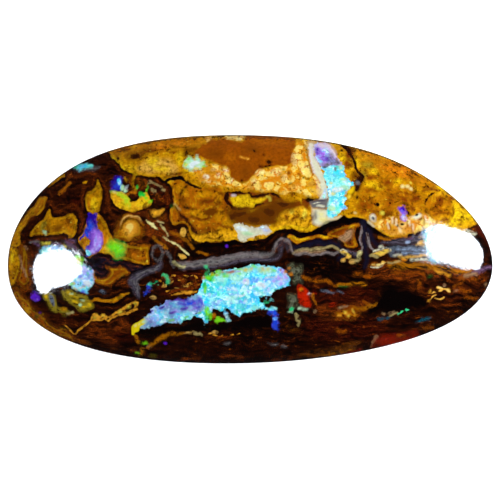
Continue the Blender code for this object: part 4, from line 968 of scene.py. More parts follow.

# Bodies of opal, and their main colours, and last a pale blue-white patch of painted glare beside the right
# soft box's reflection.
OPAL_AREAS_AND_PAINTED_GLARE = group(
    areas(Tone.CYAN, CRISP, (-4.2, -3.85, -3.95, -3.1, -3.8, -2.5, -3.75, -2.2, -3.3, -1.95, -2.7, -1.85,
        -2.2, -1.6, -1.5, -1.6, -0.6, -1.4, 0, -1.25, 0.5, -1.2, 1.2, -1.28, 2, -1.3, 2.5, -1.5, 2.8, -1.9,
        3.05, -2.3, 3.15, -2.6, 2.8, -3, 2.2, -3.2, 1.8, -3.4, 1.6, -3.6, 1, -3.7, 0.7, -3.9, 0.9, -4.3,
        1.4, -4.6, 0.5, -4.75, 0, -4.9, -0.6, -5, -1, -5.3, -1.4, -5, -1.6, -4.7, -2, -4.6, -2.3, -4.9,
        -2.8, -4.7, -3.1, -4.8, -3.3, -5.2, -3.4, -5.6, -3.6, -6, -3.8, -5.5, -4.3, -5.2)),
    areas(Tone.HEATHER, CRISP, (-4, -3.5, -5, -3.8, -6, -4, -6.5, -4.1, -7, -4.3, -7.6, -4.5, -7.9, -5.05,
        -8.3, -5.45, -8.6, -5.9, -8.6, -6.3, -8, -6.15, -7.4, -6, -6.6, -5.9, -5.8, -5.8, -5, -5.5,
        -4.2, -5.2, -3.6, -4.8, -3.6, -4.2)),
    areas(Tone.TURQUOISE, CRISP, (5.7, 6.6, 6.1, 6.9, 6.6, 6.8, 7.1, 6.75, 7.45, 6.5, 7.5, 6.1, 7.6, 5.7,
        7.8, 5.45, 8, 5.25, 8.2, 5.1, 8.1, 4.95, 7.7, 4.78, 7.45, 4.58, 7.3, 4.35, 7.4, 4.15, 7.6, 3.9,
        7.4, 3.75, 7.32, 3.5, 7.5, 3.4, 7.65, 3.2, 7.4, 3.05, 7.1, 2.8, 6.7, 2.6, 6.4, 2.45, 6.2, 2.6,
        6.1, 3, 6.1, 3.5, 6.1, 4.3, 5.95, 5, 5.85, 5.5, 5.8, 6)),
    areas(Tone.LILAC, CRISP, (5.1, 8.3, 5.5, 8.5, 6, 8.5, 6.4, 8.1, 6.8, 7.5, 7.1, 7.2, 7.25, 6.9, 7.1, 6.6,
        6.4, 6.6, 5.7, 6.5, 5.5, 7, 5.2, 7.5)),
    areas(Tone.IVORY, CRISP, (4.75, 8.5, 4.72, 7.6, 4.95, 6.7, 5.15, 6, 5.35, 5.4, 5.5, 4.9, 5.6, 4.4,
        5.6, 4, 6.1, 4, 6.1, 4.3, 5.95, 5, 5.85, 5.5, 5.8, 6, 5.65, 6.5, 5.4, 7.2, 5.15, 7.6, 5.15, 8.2),
        (-1.4, 2, -0.6, 2, 0, 1.88, 0.6, 1.82, 1.2, 1.9, 1.6, 1.65, 1.7, 1.4, 1.3, 1.18, 0.5, 1.08, 0, 0.95,
        -0.8, 0.8, -1, 1.1, -1.3, 1.6)),
    areas(Tone.PALE_GREEN, SOFT, (-5.2, 6.7, -5.1, 7.2, -4.8, 7.35, -4.5, 7.1, -4.2, 7.3, -3.9, 7.05,
        -3.5, 7.1, -3.3, 6.8, -3.8, 6.6, -3.9, 6.3, -4.4, 6.4, -4.7, 6.2)),
    spots(Tone.WHITE, SOFT, (-4.5, 6.8, 0.7, 0.4, 20), (-4.7, 6.5, 0.3, 0.3), (-4.1, 6.9, 0.3, 0.2),
        (-4.2, 6.5, 0.3, 0.14)),
    spots(Tone.LIME, SOFT, (-3.5, 6.95, 0.3, 0.2), (-4.85, 7.25, 0.2, 0.14), (-3.7, 6.6, 0.3, 0.1, 20),
        (-5.1, 6.9, 0.14, 0.3)),
    spots(Tone.MINT, SOFT, (-3.95, 7.05, 0.3, 0.14), (-4.6, 7.1, 0.3, 0.16), (-4.9, 6.6, 0.14, 0.2)),
    areas(Tone.GREEN, HAZY, (-11.4, 0.2, -11.1, 0.6, -10.7, 0.7, -10.2, 0.5, -9.9, 0.1, -9.9, -0.4,
        -10.3, -0.75, -10.8, -0.45, -11.2, -0.2)),
    areas(Tone.INDIGO, CRISP, (-12.95, 2.8, -12.5, 2.9, -12.15, 2.75, -12.1, 2.2, -12.15, 1.7, -11.85, 1.3,
        -11.75, 0.6, -11.85, 0, -12.3, -0.2, -12.6, -0.5, -12.95, -0.45, -12.9, 0.1, -12.75, 0.5,
        -12.75, 0.85, -13.1, 1, -13.5, 0.75, -13.4, 1.15, -13, 1.5, -12.9, 2)),
    areas(Tone.INDIGO, SOFT, (-11, 4.7, -10.9, 5.3, -10.6, 5.8, -10.2, 5.7, -10.15, 5.1, -10.4, 4.7)),
    spots(Tone.PALE_GREEN, SOFT, (-10.15, 4.95, 0.3, 0.4), (-16.3, 1.35, 0.26, 0.2),
        (-9.9, 4.65, 0.2, 0.2)),
    spots(Tone.WHITE, SOFT, (-9.85, 4.95, 0.2, 0.2)),
    veins(Tone.CHARTREUSE, SOFT, (0.1, 0.26, 0.36, 0.36, 0.1), (-10.95, 4.65, -10.5, 4.5, -10.1, 4.15,
        -9.75, 3.7, -9.6, 3.3)),
    spots(Tone.GREEN, SOFT, (-8.5, 4.3, 0.5, 0.4), (-8.05, 4.85, 0.16, 0.2), (-8.9, 4.9, 0.14, 0.14)),
    spots(Tone.LIME, SOFT, (-8.25, 4.1, 0.3, 0.2), (-8.15, 4.7, 0.16, 0.2), (-7.9, 3.9, 0.26, 0.2),
        (-13.6, -0.9, 0.6, 0.5), (-2.4, -5.6, 1, 0.4), (-3.2, -5.3, 0.3, 0.4)),
    spots(Tone.WHITE, SOFT, (-13.45, 6.6, 0.4, 0.3)),
    veins(Tone.AQUA, SOFT, (0.16, 0.6, 0.4, 0.1), (-14, 6.6, -13.4, 6.6, -12.9, 6.6, -12.6, 6.55)),
    areas(Tone.VIOLET, SOFT, (11.75, 3.1, 12, 3.35, 12.3, 3.35, 12.4, 3.05, 12.3, 2.8, 12.4, 2.55,
        12.2, 2.4, 11.95, 2.55, 11.85, 2.85)),
    veins(Tone.ICE, SOFT, (0.2, 0.14, 0.06), (-1.85, -5.1, -1.8, -5.4, -1.65, -5.65)),
    areas(Tone.BLUE, SOFT, (1.4, -4.75, 1.7, -4.7, 2.05, -4.9, 2.1, -5.2, 1.8, -5.15, 1.5, -5)),
    veins(Tone.BLUE, SOFT, (0.08, 0.2, 0.42, 0.3), (2, -5.2, 2.05, -5.5, 2.1, -5.9, 2.1, -6.3)),
    areas(Tone.LAVENDER, SOFT, (-14.2, -1.1, -13.7, -1.3, -13.2, -1.2, -12.8, -1.6, -12.5, -2, -12.4, -2.6,
        -12.6, -3, -12.9, -3.2, -13, -3.5, -13.5, -3.3, -14.1, -3, -14.4, -2.4)),
    areas(Tone.VIOLET, SOFT, (-17.5, -3.85, -17.2, -3.3, -16.9, -3.5, -16.6, -4, -17.1, -4.1)),
    areas(Tone.ICE, SOFT, (-16.6, -0.3, -16.2, 0.25, -15.4, 0.15, -15, 0.25, -14.5, 0.1, -14.2, -0.4,
        -14.6, -0.8, -16, -0.6)),
    spots(Tone.BLUE, SOFT, (-8.2, -3.4, 0.4, 0.26, 40), (-8, -3, 0.2, 0.2)),
    spots(Tone.EMERALD, SOFT, (-7.7, -2.8, 0.4, 0.12, 10), (-6.7, -2.25, 0.5, 0.12, -30),
        (-6.5, -2.55, 0.24, 0.1), (-3.4, -1.8, 0.3, 0.2), (-2.9, -2, 0.3, 0.14), (1.2, -4.15, 0.36, 0.2),
        (3.2, -4.7, 0.3, 0.2), (-3.5, -1.4, 0.2, 0.1)),
    spots(Tone.AQUA, SOFT, (1.7, -4, 0.26, 0.12), (1.65, -4.7, 0.5, 0.14, -10)),
    veins(Tone.EMERALD, CRISP, (0.04, 0.1, 0.13, 0.1, 0.03), (11.6, -5.12, 11.8, -5.1, 12.1, -5, 12.4, -4.9,
        12.65, -4.84)),
    veins(Tone.TEAL, SOFT, (0.06, 0.2, 0.2, 0.06), (13.2, -5.85, 13.6, -5.75, 13.9, -5.65, 14.3, -5.58)),
    veins(Tone.TEAL, SOFT, (0.06, 0.2, 0.06), (10.2, -5.62, 10.6, -5.58, 11.1, -5.42)),
    # Painted glare, not opal: a pale blue-white fringe left of the right soft box's mirror image.
    areas(Tone.ICE, HAZY, (13.9, 1.5, 14.9, 1.75, 14.75, 1.2, 14.7, 0.3, 14.9, -0.6, 14.7, -1, 14.3, -0.75,
        14.1, 0, 13.9, 0.9)),
)

# Changes of colour inside the opal, from side to side of each body.
OPAL_PLAY = group(
    spots(Tone.LAVENDER, HAZY, (-7.5, -5.2, 1, 0.8, 20), (-6.9, -5.5, 0.8, 0.4)),
    spots(Tone.HEATHER, HAZY, (-6.5, -5.3, 0.7, 0.5), (-6.6, -4.7, 0.6, 0.4), (-7.4, -4.9, 0.6, 0.3)),
    spots(Tone.INDIGO, SOFT, (-5.6, -3.95, 1.4, 0.26, 6), (-5.2, -4.7, 0.5, 0.2, 20),
        (-7.9, -5, 0.5, 0.16, 30), (-6.1, -5.1, 0.4, 0.16, 10), (-7, -4.6, 0.4, 0.16, 20)),
    spots(Tone.TEAL, SOFT, (5.9, 6.5, 0.4, 0.3, -20)),
    spots(Tone.CYAN, HAZY, (-5.2, -5.4, 1.1, 0.3, 15), (-3.2, -3.5, 1.3, 1.1), (-1.9, -3.6, 1.3, 1.2),
        (-13.3, 6.6, 0.5, 0.4), (-13.6, -2.9, 0.5, 0.3)),
    spots(Tone.BLUE, HAZY, (-4.7, -4.2, 0.9, 0.4, 10), (-3.9, -4.1, 0.5, 0.5), (-5.4, -4.3, 0.6, 0.2, 10),
        (-4.2, -4.6, 0.4, 0.2), (-12.9, 1.3, 0.5, 0.6)),
    spots(Tone.WHITE, SOFT, (-8, -5.4, 0.24, 0.1, 30), (-7.3, -5.5, 0.2, 0.1), (-6.6, -5.1, 0.24, 0.1, 20),
        (-7, -5, 0.2, 0.08), (-5.7, -5.4, 0.3, 0.1, 10), (-8.4, -5.9, 0.2, 0.1)),
    spots(Tone.LIME, SOFT, (-5, -5.35, 0.5, 0.14, 15), (-4, -5.1, 0.3, 0.12, 20),
        (-6.3, -5.7, 0.4, 0.1, 10)),
    spots(Tone.MAGENTA, HAZY, (-4.6, -4.8, 0.5, 0.24, 20), (2.75, -2.35, 0.3, 0.6), (5.3, 8, 0.5, 0.8),
        (-5.9, -5, 0.4, 0.16), (2.3, -1.7, 0.5, 0.3)),
    spots(Tone.AQUA, HAZY, (-2.3, -2.7, 1.3, 0.9), (-1, -4.4, 0.7, 0.6), (7, 5.4, 1.1, 1),
        (6.7, 4, 0.9, 0.7)),
    spots(Tone.LAVENDER, HAZY, (-2.6, -4.2, 1, 0.4), (-0.6, -3, 1.3, 1.2), (1.2, -3, 0.9, 0.6),
        (1.3, 1.5, 0.4, 0.25)),
    spots(Tone.GREEN, SOFT, (-3.45, -5.2, 0.4, 0.9), (-13.9, 6.6, 0.3, 0.3), (-3.2, -2.4, 0.4, 0.24)),
    spots(Tone.PALE_GREEN, HAZY, (-0.5, -1.65, 1.5, 0.6, 10), (1.2, -1.6, 1.4, 0.6),
        (-1.8, -2, 1, 0.4, 15)),
    spots(Tone.MINT, HAZY, (-1, -2.2, 1.2, 0.9, 20), (-1.4, -3.9, 1.4, 0.5, 10), (0.2, -4.6, 1, 0.4),
        (0.9, -3.45, 0.8, 0.4), (-2.4, -2.3, 0.8, 0.3)),
    spots(Tone.WHITE, SOFT, (-0.3, -2.6, 0.8, 0.6), (0.9, -2.9, 0.7, 0.5), (-1.6, -3.2, 0.8, 0.5),
        (-0.7, -3.6, 0.7, 0.3), (1.6, -2.2, 0.6, 0.3), (-13, -2.6, 0.5, 0.4), (-0.6, 1.6, 1, 0.4, -10)),
    spots(Tone.SKY, HAZY, (0.1, -3.9, 1, 0.8), (-1.4, -2.9, 0.6, 0.5)),
    spots(Tone.LEMON, SOFT, (-13.5, -1, 0.4, 0.3, 30), (-14, -2.7, 0.3, 0.16)),
    spots(Tone.WHITE, SOFT, (-13.3, -2.2, 0.4, 0.3), (-12.8, -2.7, 0.5, 0.6), (-13.4, -3, 0.6, 0.3)),
    spots(Tone.SKY, SOFT, (-13.9, -2.1, 0.3, 0.3), (-13.1, -2.1, 0.2, 0.2), (-13.2, -3.2, 0.3, 0.2)),
    spots(Tone.LILAC, SOFT, (-13.2, -1.7, 0.4, 0.3), (-13.8, -1.6, 0.3, 0.2)),
    spots(Tone.TEAL, SOFT, (-13.6, -2.7, 0.3, 0.2)),
    spots(Tone.PERIWINKLE, SOFT, (-0.3, -4.5, 0.9, 0.5), (0.4, -2.4, 0.8, 0.5), (2.45, -1.6, 0.5, 0.4),
        (-13.4, -2, 0.4, 0.4), (1.2, -2.4, 0.6, 0.3)),
    spots(Tone.LILAC, HAZY, (2.2, -2.5, 1.3, 0.9), (2.6, -2, 0.6, 0.5), (5.6, 7.6, 0.7, 0.8),
        (12.2, 2.65, 0.5, 0.4), (-13.1, -1.5, 0.4, 0.3)),
    spots(Tone.LEMON, SOFT, (-5, 6.75, 0.2, 0.3), (-4.2, 6.35, 0.5, 0.14)),
    spots(Tone.PINK_WHITE, SOFT, (5.65, 8.25, 0.6, 0.6), (6.5, 7.95, 0.3, 1.3, 40),
        (7.05, 7.2, 0.3, 0.8, 25), (4.75, 7.2, 0.25, 1)),
    spots(Tone.MAGENTA, HAZY, (5.5, 7.75, 0.7, 0.9, 20), (5.8, 7.2, 0.6, 0.4, -20)),
    spots(Tone.HEATHER, HAZY, (6.3, 7.3, 0.6, 0.9, 20), (6.5, 6.9, 1, 0.5)),
    spots(Tone.GREY, HAZY, (6.1, 6.75, 0.8, 0.4), (6.9, 6.9, 0.5, 0.4), (6.4, 7.4, 0.4, 0.5, 20)),
    spots(Tone.INDIGO, HAZY, (5.35, 7.9, 0.3, 0.5, 15), (5.9, 7.3, 0.4, 0.2, -20)),
    spots(Tone.GREY, SOFT, (6.75, 6.35, 0.26, 0.4)),
    spots(Tone.PALE_GREEN, SOFT, (7.15, 6.5, 0.4, 0.4), (-0.2, 1.3, 0.9, 0.3), (7.4, 5.5, 0.5, 0.3),
        (6.5, 3.3, 0.5, 0.5), (7.5, 4.9, 0.6, 0.3)),
    spots(Tone.IVORY, SOFT, (6.9, 4.75, 0.7, 0.3, 10), (0.3, 1.5, 0.6, 0.3)),
    spots(Tone.BUTTER, SOFT, (6.6, 4.45, 0.5, 0.25, 10), (6.5, 5.2, 0.3, 0.2)),
    spots(Tone.WHITE, SOFT, (6.9, 4.75, 0.9, 0.2, 10), (6.7, 3.7, 0.6, 0.3, 20), (7.2, 3.1, 0.5, 0.2, 20),
        (6.6, 2.9, 0.3, 0.3), (7.5, 5.3, 0.3, 0.2), (6.3, 4.4, 0.2, 0.4)),
    spots(Tone.ICE, SOFT, (6.8, 3.8, 0.5, 0.5), (7.2, 3.2, 0.5, 0.3, 20), (0.9, 1.75, 0.5, 0.25),
        (-13.8, -2.3, 0.5, 0.4), (6.3, 4.9, 0.3, 0.5), (5.8, 4.4, 0.3, 0.8)),
    spots(Tone.MAGENTA, HAZY, (-12.15, 0.7, 0.7, 1.3), (-12.35, 1.4, 0.4, 0.5)),
    spots(Tone.BLUE, SOFT, (-12.6, 1.9, 0.3, 0.8), (-12.9, 1.1, 0.6, 0.3, 30), (-12.85, 0.1, 0.2, 0.6)),
    spots(Tone.LILAC, HAZY, (-12.15, 0.5, 0.4, 0.9), (-12.4, -0.1, 0.4, 0.4)),
    spots(Tone.AQUA, SOFT, (-12.8, -0.3, 0.3, 0.4, 20)),
    spots(Tone.LIME, HAZY, (-10.9, 0.25, 1, 0.8), (-10.4, -0.05, 0.9, 0.7), (-10.7, 0.5, 0.6, 0.3)),
    spots(Tone.INDIGO, SOFT, (12.15, 3.25, 0.5, 0.4)),
    spots(Tone.BLUE, SOFT, (-10.4, 5.3, 0.3, 0.8), (-10.6, 5, 0.3, 0.3)),
    spots(Tone.ICE, SOFT, (-10.35, 5.35, 0.12, 0.36)),
    spots(Tone.IVORY, SOFT, (-10.7, 4.55, 0.3, 0.1, -30)),
    spots(Tone.YELLOW, SOFT, (-9.75, 3.5, 0.24, 0.3)),
    spots(Tone.SKY, SOFT, (-10.4, 5.4, 0.2, 0.3), (2.1, -5.5, 0.3, 0.2)),
    spots(Tone.GREEN, SOFT, (-3.3, -2.2, 0.8, 0.5), (-3.6, -2.8, 0.3, 0.5)),
    spots(Tone.LIME, SOFT, (-2.7, -1.95, 0.9, 0.4), (-3.5, -3.2, 0.3, 0.8), (-3.4, -4.9, 0.4, 0.9),
        (-1, -1.55, 0.5, 0.2), (-1.9, -2.1, 0.4, 0.2), (0.2, -1.3, 0.4, 0.2)),
    spots(Tone.ROSE_GREY, SOFT, (-1.9, -1.8, 0.8, 0.2, 8), (-1.4, -1.75, 0.4, 0.2)),
    spots(Tone.ORANGE, SOFT, (-2.2, -1.75, 0.3, 0.14), (2.4, -1.65, 0.2, 0.2)),
)

# Smooth grey and cream blocks, pin holes painted black as the shade inside them, glints and small ringed
# spots.
ACCENTS = group(
    areas(Tone.BRICK, HAZY, (9.9, -7.4, 10.4, -7.05, 11.2, -6.85, 12.2, -6.8, 13.2, -6.65, 13.4, -7.2,
        11.6, -7.8, 10, -8.4)),
    spots(Tone.MAROON, HAZY, (12.4, -6.95, 1.4, 0.2, 10), (10.2, -7.7, 0.5, 0.6, 50)),
    areas(Tone.APRICOT, CRISP, (14.75, -2.92, 15, -2.97, 15.3, -3.1, 15.7, -3.12, 15.92, -3.42,
        15.75, -3.45, 15.5, -3.25, 15.3, -3.25, 15.15, -3.38, 15, -3.34, 15.05, -3.2, 14.8, -3.08)),
    veins(Tone.APRICOT, CRISP, (0.05, 0.12, 0.05), (14.45, -3.9, 14.65, -3.7, 14.9, -3.6), (14.8, -3.86,
        15.1, -3.94, 15.4, -3.8), (14.55, -3.5, 14.7, -3.38, 14.85, -3.42)),
    veins(Tone.BUTTER, CRISP, 0.06, (14.9, -2.99, 15.2, -3.1), (15.6, -3.2, 15.8, -3.36)),
    areas(Tone.BRIGHT_ORANGE, HAZY, (-10.1, 1.7, -9.8, 2.15, -9.3, 2.2, -8.95, 1.85, -8.95, 1.4, -9.3, 1.1,
        -9.55, 0.9, -9.7, 1.35)),
    areas(Tone.CREAM, SOFT, (-9.9, 1.8, -9.65, 2.05, -9.35, 2.05, -9.2, 1.75, -9.4, 1.4, -9.6, 1.2,
        -9.65, 1.5)),
    veins(Tone.UMBER, SOFT, 0.12, (-10.3, 1.7, -10.15, 2.2, -9.6, 2.45, -9, 2.35, -8.65, 1.9)),
    veins(Tone.PEACH, CRISP, (0.03, 0.08, 0.1, 0.08, 0.03), (-10.4, 2, -10.05, 2.5, -9.5, 2.68, -8.9, 2.58,
        -8.5, 2.15)),
    spots(Tone.MAGENTA, HAZY, (-12.15, 0.65, 0.45, 1.1, -5), (-12.35, 0.05, 0.3, 0.5)),
    spots(Tone.LILAC, HAZY, (-12.05, 0.8, 0.2, 0.6)),
    spots(Tone.LIME, SOFT, (-3.33, -2.24, 0.4, 0.24, 20), (-2.4, -1.77, 0.44, 0.2, 10),
        (-0.9, -1.9, 0.24, 0.16), (0.44, -1.4, 0.3, 0.16), (1.9, -1.62, 0.3, 0.18), (-2.9, -2.4, 0.2, 0.2),
        (-1.7, -2.1, 0.2, 0.12)),
    spots(Tone.EMERALD, SOFT, (-3.5, -2, 0.24, 0.14), (-2, -1.95, 0.24, 0.12), (-3.6, -2.9, 0.14, 0.24)),
    spots(Tone.RED, SOFT, (-1.5, -1.8, 0.34, 0.1, 10), (-2.6, -2.05, 0.2, 0.1)),
    spots(Tone.YELLOW, SOFT, (-0.37, -1.62, 0.26, 0.18), (-3, -1.95, 0.2, 0.12), (1.4, -1.5, 0.2, 0.1)),
    spots(Tone.BRIGHT_ORANGE, SOFT, (1.04, -1.5, 0.16, 0.12), (0.1, -1.5, 0.14, 0.1)),
    spots(Tone.MAGENTA, SOFT, (2.62, -1.8, 0.3, 0.24), (-1, -1.72, 0.3, 0.1)),
    spots(Tone.LILAC, SOFT, (2.3, -2.35, 0.36, 0.3), (2.75, -2.2, 0.26, 0.4, 20), (1.8, -2.6, 0.3, 0.2),
        (2.5, -2.8, 0.3, 0.16), (-0.5, -2.5, 0.24, 0.16), (0.4, -3, 0.2, 0.14)),
    spots(Tone.PINK_WHITE, SOFT, (2, -2.15, 0.26, 0.18), (2.5, -2.5, 0.16, 0.2), (1.3, -2.2, 0.2, 0.12)),
    spots(Tone.WHITE, SOFT, (-2.4, -3, 0.2, 0.12, 30), (-1.2, -3.3, 0.24, 0.14), (0, -3.3, 0.2, 0.16),
        (0.7, -3.6, 0.2, 0.1), (-0.4, -4.1, 0.2, 0.14), (-1.9, -4, 0.2, 0.1), (-3.1, -3.6, 0.16, 0.12)),
    spots(Tone.LIME, SOFT, (-13.9, -0.85, 0.36, 0.3), (-13.4, -1.15, 0.2, 0.24), (-14.2, -2.75, 0.3, 0.12)),
    spots(Tone.YELLOW, SOFT, (-13.65, -0.95, 0.2, 0.2), (-13.9, -3.1, 0.3, 0.1, -20)),
    spots(Tone.LAVENDER, SOFT, (-13.2, -1.75, 0.4, 0.3), (-14.35, -1, 0.24, 0.3)),
    spots(Tone.WHITE, SOFT, (-12.9, -2.5, 0.36, 0.3), (-13.6, -2.35, 0.24, 0.2), (-13, -1.6, 0.12, 0.1)),
    spots(Tone.PERIWINKLE, SOFT, (-13.45, -2.1, 0.3, 0.3), (-12.75, -2.1, 0.2, 0.3)),
    spots(Tone.BLUE, SOFT, (-13.3, -3.35, 0.24, 0.2), (-13.75, -1.75, 0.16, 0.12)),
    spots(Tone.ROSE_GREY, SOFT, (-13.95, -1.5, 0.3, 0.2), (-13.2, -2.9, 0.24, 0.14)),
    spots(Tone.EMERALD, SOFT, (3.2, -4.7, 0.3, 0.2)),
    spots(Tone.ORANGE, SOFT, (2.75, -1.85, 0.26, 0.24), (3.25, -2, 0.24, 0.2), (3.1, -1.5, 0.16, 0.1)),
    areas(Tone.CANARY, CRISP, (-9.5, -6.75, -9.45, -6.1, -9.1, -5.8, -8.8, -5.75, -8.35, -5.6, -8.3, -6,
        -8.7, -6.25, -8.8, -6.45, -9.2, -6.6, -9.3, -6.85)),
    spots(Tone.BUTTER, SOFT, (-9.1, -6, 0.3, 0.14, 30), (-8.7, -5.95, 0.2, 0.1, 20)),
    spots(Tone.PALE_GREEN, SOFT, (-8.35, -5.85, 0.3, 0.2, 30)),
    areas(Tone.IVORY, SOFT, (4.85, 3.3, 5.1, 3.15, 6.1, 3.1, 6.2, 2.6, 6.5, 2.45, 7, 2.5, 6.5, 2.25, 5.9, 2,
        5.3, 1.8, 4.95, 2.1, 4.95, 2.8)),
    areas(Tone.GREY, SOFT, (4.8, 3.85, 5.6, 3.98, 6.1, 4, 6.15, 3.6, 6.1, 3.25, 5.6, 3.2, 4.9, 3.3)),
    spots(Tone.GREY, HAZY, (5.1, 2.6, 0.2, 0.7)),
    spots(Tone.BUTTER, HAZY, (5.8, 2.3, 0.9, 0.5, -10), (5.6, 2.8, 0.5, 0.3)),
    spots(Tone.SLATE, SOFT, (5.4, 3.85, 1.1, 0.22, 3), (5.5, 3.55, 0.9, 0.1)),
    spots(Tone.IVORY, SOFT, (5.6, 3.4, 0.7, 0.16), (5.3, 3.68, 0.5, 0.08)),
    # Painted shade: a black spot stands in for a pin hole, which is not cut into the mesh.
    spots(Tone.BLACK, CRISP, (10.05, 3.5, 0.36, 0.32)),
    spots(Tone.IVORY, SOFT, (9.75, 2.42, 0.56, 0.5), (13.2, 2.62, 0.5, 0.4), (4.9, 3, 0.1, 0.5)),
    spots(Tone.SLATE, SOFT, (9.8, 2.38, 0.34, 0.26), (6.95, 6.9, 0.24, 0.18)),
    spots(Tone.PEACH, SOFT, (12.15, 2, 0.56, 0.52)),
    # Painted shade: black centres of ringed pin holes, which are not cut into the mesh.
    spots(Tone.BLACK, CRISP, (12.05, 2.06, 0.28, 0.26), (13.15, 2.76, 0.24, 0.18)),
    spots(Tone.UMBER, SOFT, (13.45, 2.36, 0.24, 0.18), (4.25, 5.7, 0.16, 0.14), (4.58, 5.6, 0.16, 0.16),
        (2.6, 6.3, 0.14, 0.14), (3.2, 5.3, 0.14, 0.12)),
    spots(Tone.BUTTER, SOFT, (12.1, 4.95, 0.28, 0.22), (12.45, 4.97, 0.24, 0.24),
        (12.74, 4.76, 0.24, 0.18, -30), (8.4, 2.9, 0.2, 0.18)),
    spots(Tone.LEMON, SOFT, (12.8, 5.3, 0.2, 0.14), (10.4, 2.9, 0.22, 0.24), (7.75, 4.15, 0.2, 0.36)),
    veins(Tone.IVORY, SOFT, 0.08, (11.3, 2.5, 11.35, 2.1), (11.6, 2.35, 11.62, 1.9), (12.6, 2.3,
        12.65, 1.8), (10.9, 2.1, 10.95, 1.7), (13.8, 2.6, 13.9, 2.2), (12.9, 1.9, 12.95, 1.5), (11.9, 1.7,
        11.95, 1.4), (9.35, 2.1, 9.6, 1.95, 9.8, 1.8)),
    veins(Tone.RUST, SOFT, 0.08, (11.45, 2.5, 11.48, 2), (12.4, 2.3, 12.42, 1.7), (13.7, 2.4, 13.75, 1.9),
        (11.05, 2, 11.1, 1.6), (12.8, 1.8, 12.82, 1.4)),
    spots(Tone.GREY, SOFT, (8.55, 5.2, 0.3, 0.22)),
    areas(Tone.YELLOW, SOFT, (7.6, 4.72, 8, 4.85, 8.2, 4.95, 8.22, 4.6, 8, 4.42, 7.7, 4.5)),
    spots(Tone.PINK_WHITE, SOFT, (-1.3, 4.3, 0.26, 0.14)),
    veins(Tone.LEMON, SOFT, 0.08, (1.3, 4.12, 1.5, 4.02, 1.6, 3.8)),
    veins(Tone.IVORY, HAZY, (0.3, 0.36, 0.4, 0.34, 0.28, 0.16), (4.92, 8.4, 4.92, 7.6, 5.08, 6.9, 5.28, 6.1,
        5.45, 5.3, 5.6, 4.4)),
    veins(Tone.PINK_WHITE, SOFT, 0.12, (4.8, 8.3, 4.82, 7.6, 4.98, 6.8, 5.15, 6.1)),
    spots(Tone.PINK_WHITE, HAZY, (6, 8.2, 0.5, 0.3, -30), (6.6, 7.7, 0.2, 0.6, 35)),
    spots(Tone.ICE, SOFT, (12.4, 0.52, 0.22, 0.12)),
    spots(Tone.LAVENDER, SOFT, (14.3, 1.3, 0.3, 0.2)),
    veins(Tone.ORANGE, SOFT, 0.09, (4.5, 7.6, 4.68, 7, 4.88, 6.3, 5.05, 5.9, 5.25, 5.6, 5.38, 5.2)),
    spots(Tone.INDIGO, SOFT, (-16.7, -5.1, 0.16, 0.12)),
    spots(Tone.VIOLET, SOFT, (-6.75, -7.4, 0.2, 0.14), (-1.85, 0.2, 0.24, 0.14)),
    spots(Tone.ORANGE, SOFT, (-2.9, -5.2, 0.26, 0.22), (-3.7, -2.3, 0.3, 0.2)),
    spots(Tone.SIENNA, SOFT, (6.87, 7.25, 0.2, 0.2)),
)


@dataclass(frozen=True)
class Course:
    """The line that the stone's flow bands follow from end to end.

    Args:
        points: The points that it passes through, in millimetres.
        fade: Distance over which the bands forget it.
    """

    points: tuple[Point, ...]
    fade: float = 4.0

    def level(self, places: np.ndarray) -> np.ndarray:
        """Height of places above the course, which straightens with distance: y less the course's
        height times exp(-(d / fade)^2), where d is the distance from it.

        Args:
            places: Points seen from above, in millimetres.

        Returns:
            The height of each.
        """
        line = rounded_line(self.points, closed=False)
        course = np.interp(places[:, 0], line[:, 0], line[:, 1])
        away = (places[:, 1] - course) / self.fade
        return places[:, 1] - course * np.exp(-(away**2))


# The grey band's course, from the left end to the right
MAIN_COURSE = Course((
    (-19.6, -1.5), (-16, -1.0), (-13, -1.3), (-9.5, -1.5), (-6, -1.3), (-4, -1.1), (-2, -0.75), (0, -0.45),
    (1.5, -0.35), (2.4, 0.5), (3.4, 0.9), (4.6, 0.8), (5.6, 1.0), (6.8, 0.8), (8.2, 0.3), (9.2, 0.2),
    (10.6, 0.4), (12, 0.3), (14, 0.0), (16.5, -0.8), (19.6, -2.0),
))


@dataclass(frozen=True)
class Wire:
    """One output of a shader node, on which Python's operators add Math nodes."""

    tree: bpy.types.NodeTree
    socket: bpy.types.NodeSocket

    def math(self, operation: str, *values: Union["Wire", float]) -> "Wire":
        """Adds a Math node.

        Args:
            operation: The node's operation.
            values: Its inputs, wires or numbers.

        Returns:
            The node's value.
        """
        node = self.tree.nodes.new("ShaderNodeMath")
        node.operation = operation
        for socket, value in zip(node.inputs, values):
            plug(self.tree, socket, value)
        return Wire(self.tree, node.outputs[0])

    def __add__(self, other: Union["Wire", float]) -> "Wire":
        """Sum."""
        return self.math("ADD", self, other)

    def __radd__(self, other: float) -> "Wire":
        """Sum with a number on the left."""
        return self.math("ADD", other, self)

    def __sub__(self, other: Union["Wire", float]) -> "Wire":
        """Difference."""
        return self.math("SUBTRACT", self, other)

    def __rsub__(self, other: float) -> "Wire":
        """Difference from a number."""
        return self.math("SUBTRACT", other, self)

    def __mul__(self, other: Union["Wire", float]) -> "Wire":
        """Product."""
        return self.math("MULTIPLY", self, other)

    def __rmul__(self, other: float) -> "Wire":
        """Product with a number on the left."""
        return self.math("MULTIPLY", other, self)

    def __truediv__(self, other: Union["Wire", float]) -> "Wire":
        """Quotient."""
        return self.math("DIVIDE", self, other)

    def clamp(self) -> "Wire":
        """The value held between 0 and 1."""
        return self.math("MINIMUM", self.math("MAXIMUM", self, 0.0), 1.0)

    def spread(self, gain: float) -> "Wire":
        """The value's distance from a half, enlarged, and held between 0 and 1."""
        return ((self - 0.5) * gain + 0.5).clamp()

    def step(self, low: float, high: float) -> "Wire":
        """A smooth step: 0 at low, 1 at high, falling where high is the lower."""
        share = ((self - low) / (high - low)).clamp()
        return share * share * (3.0 - 2.0 * share)


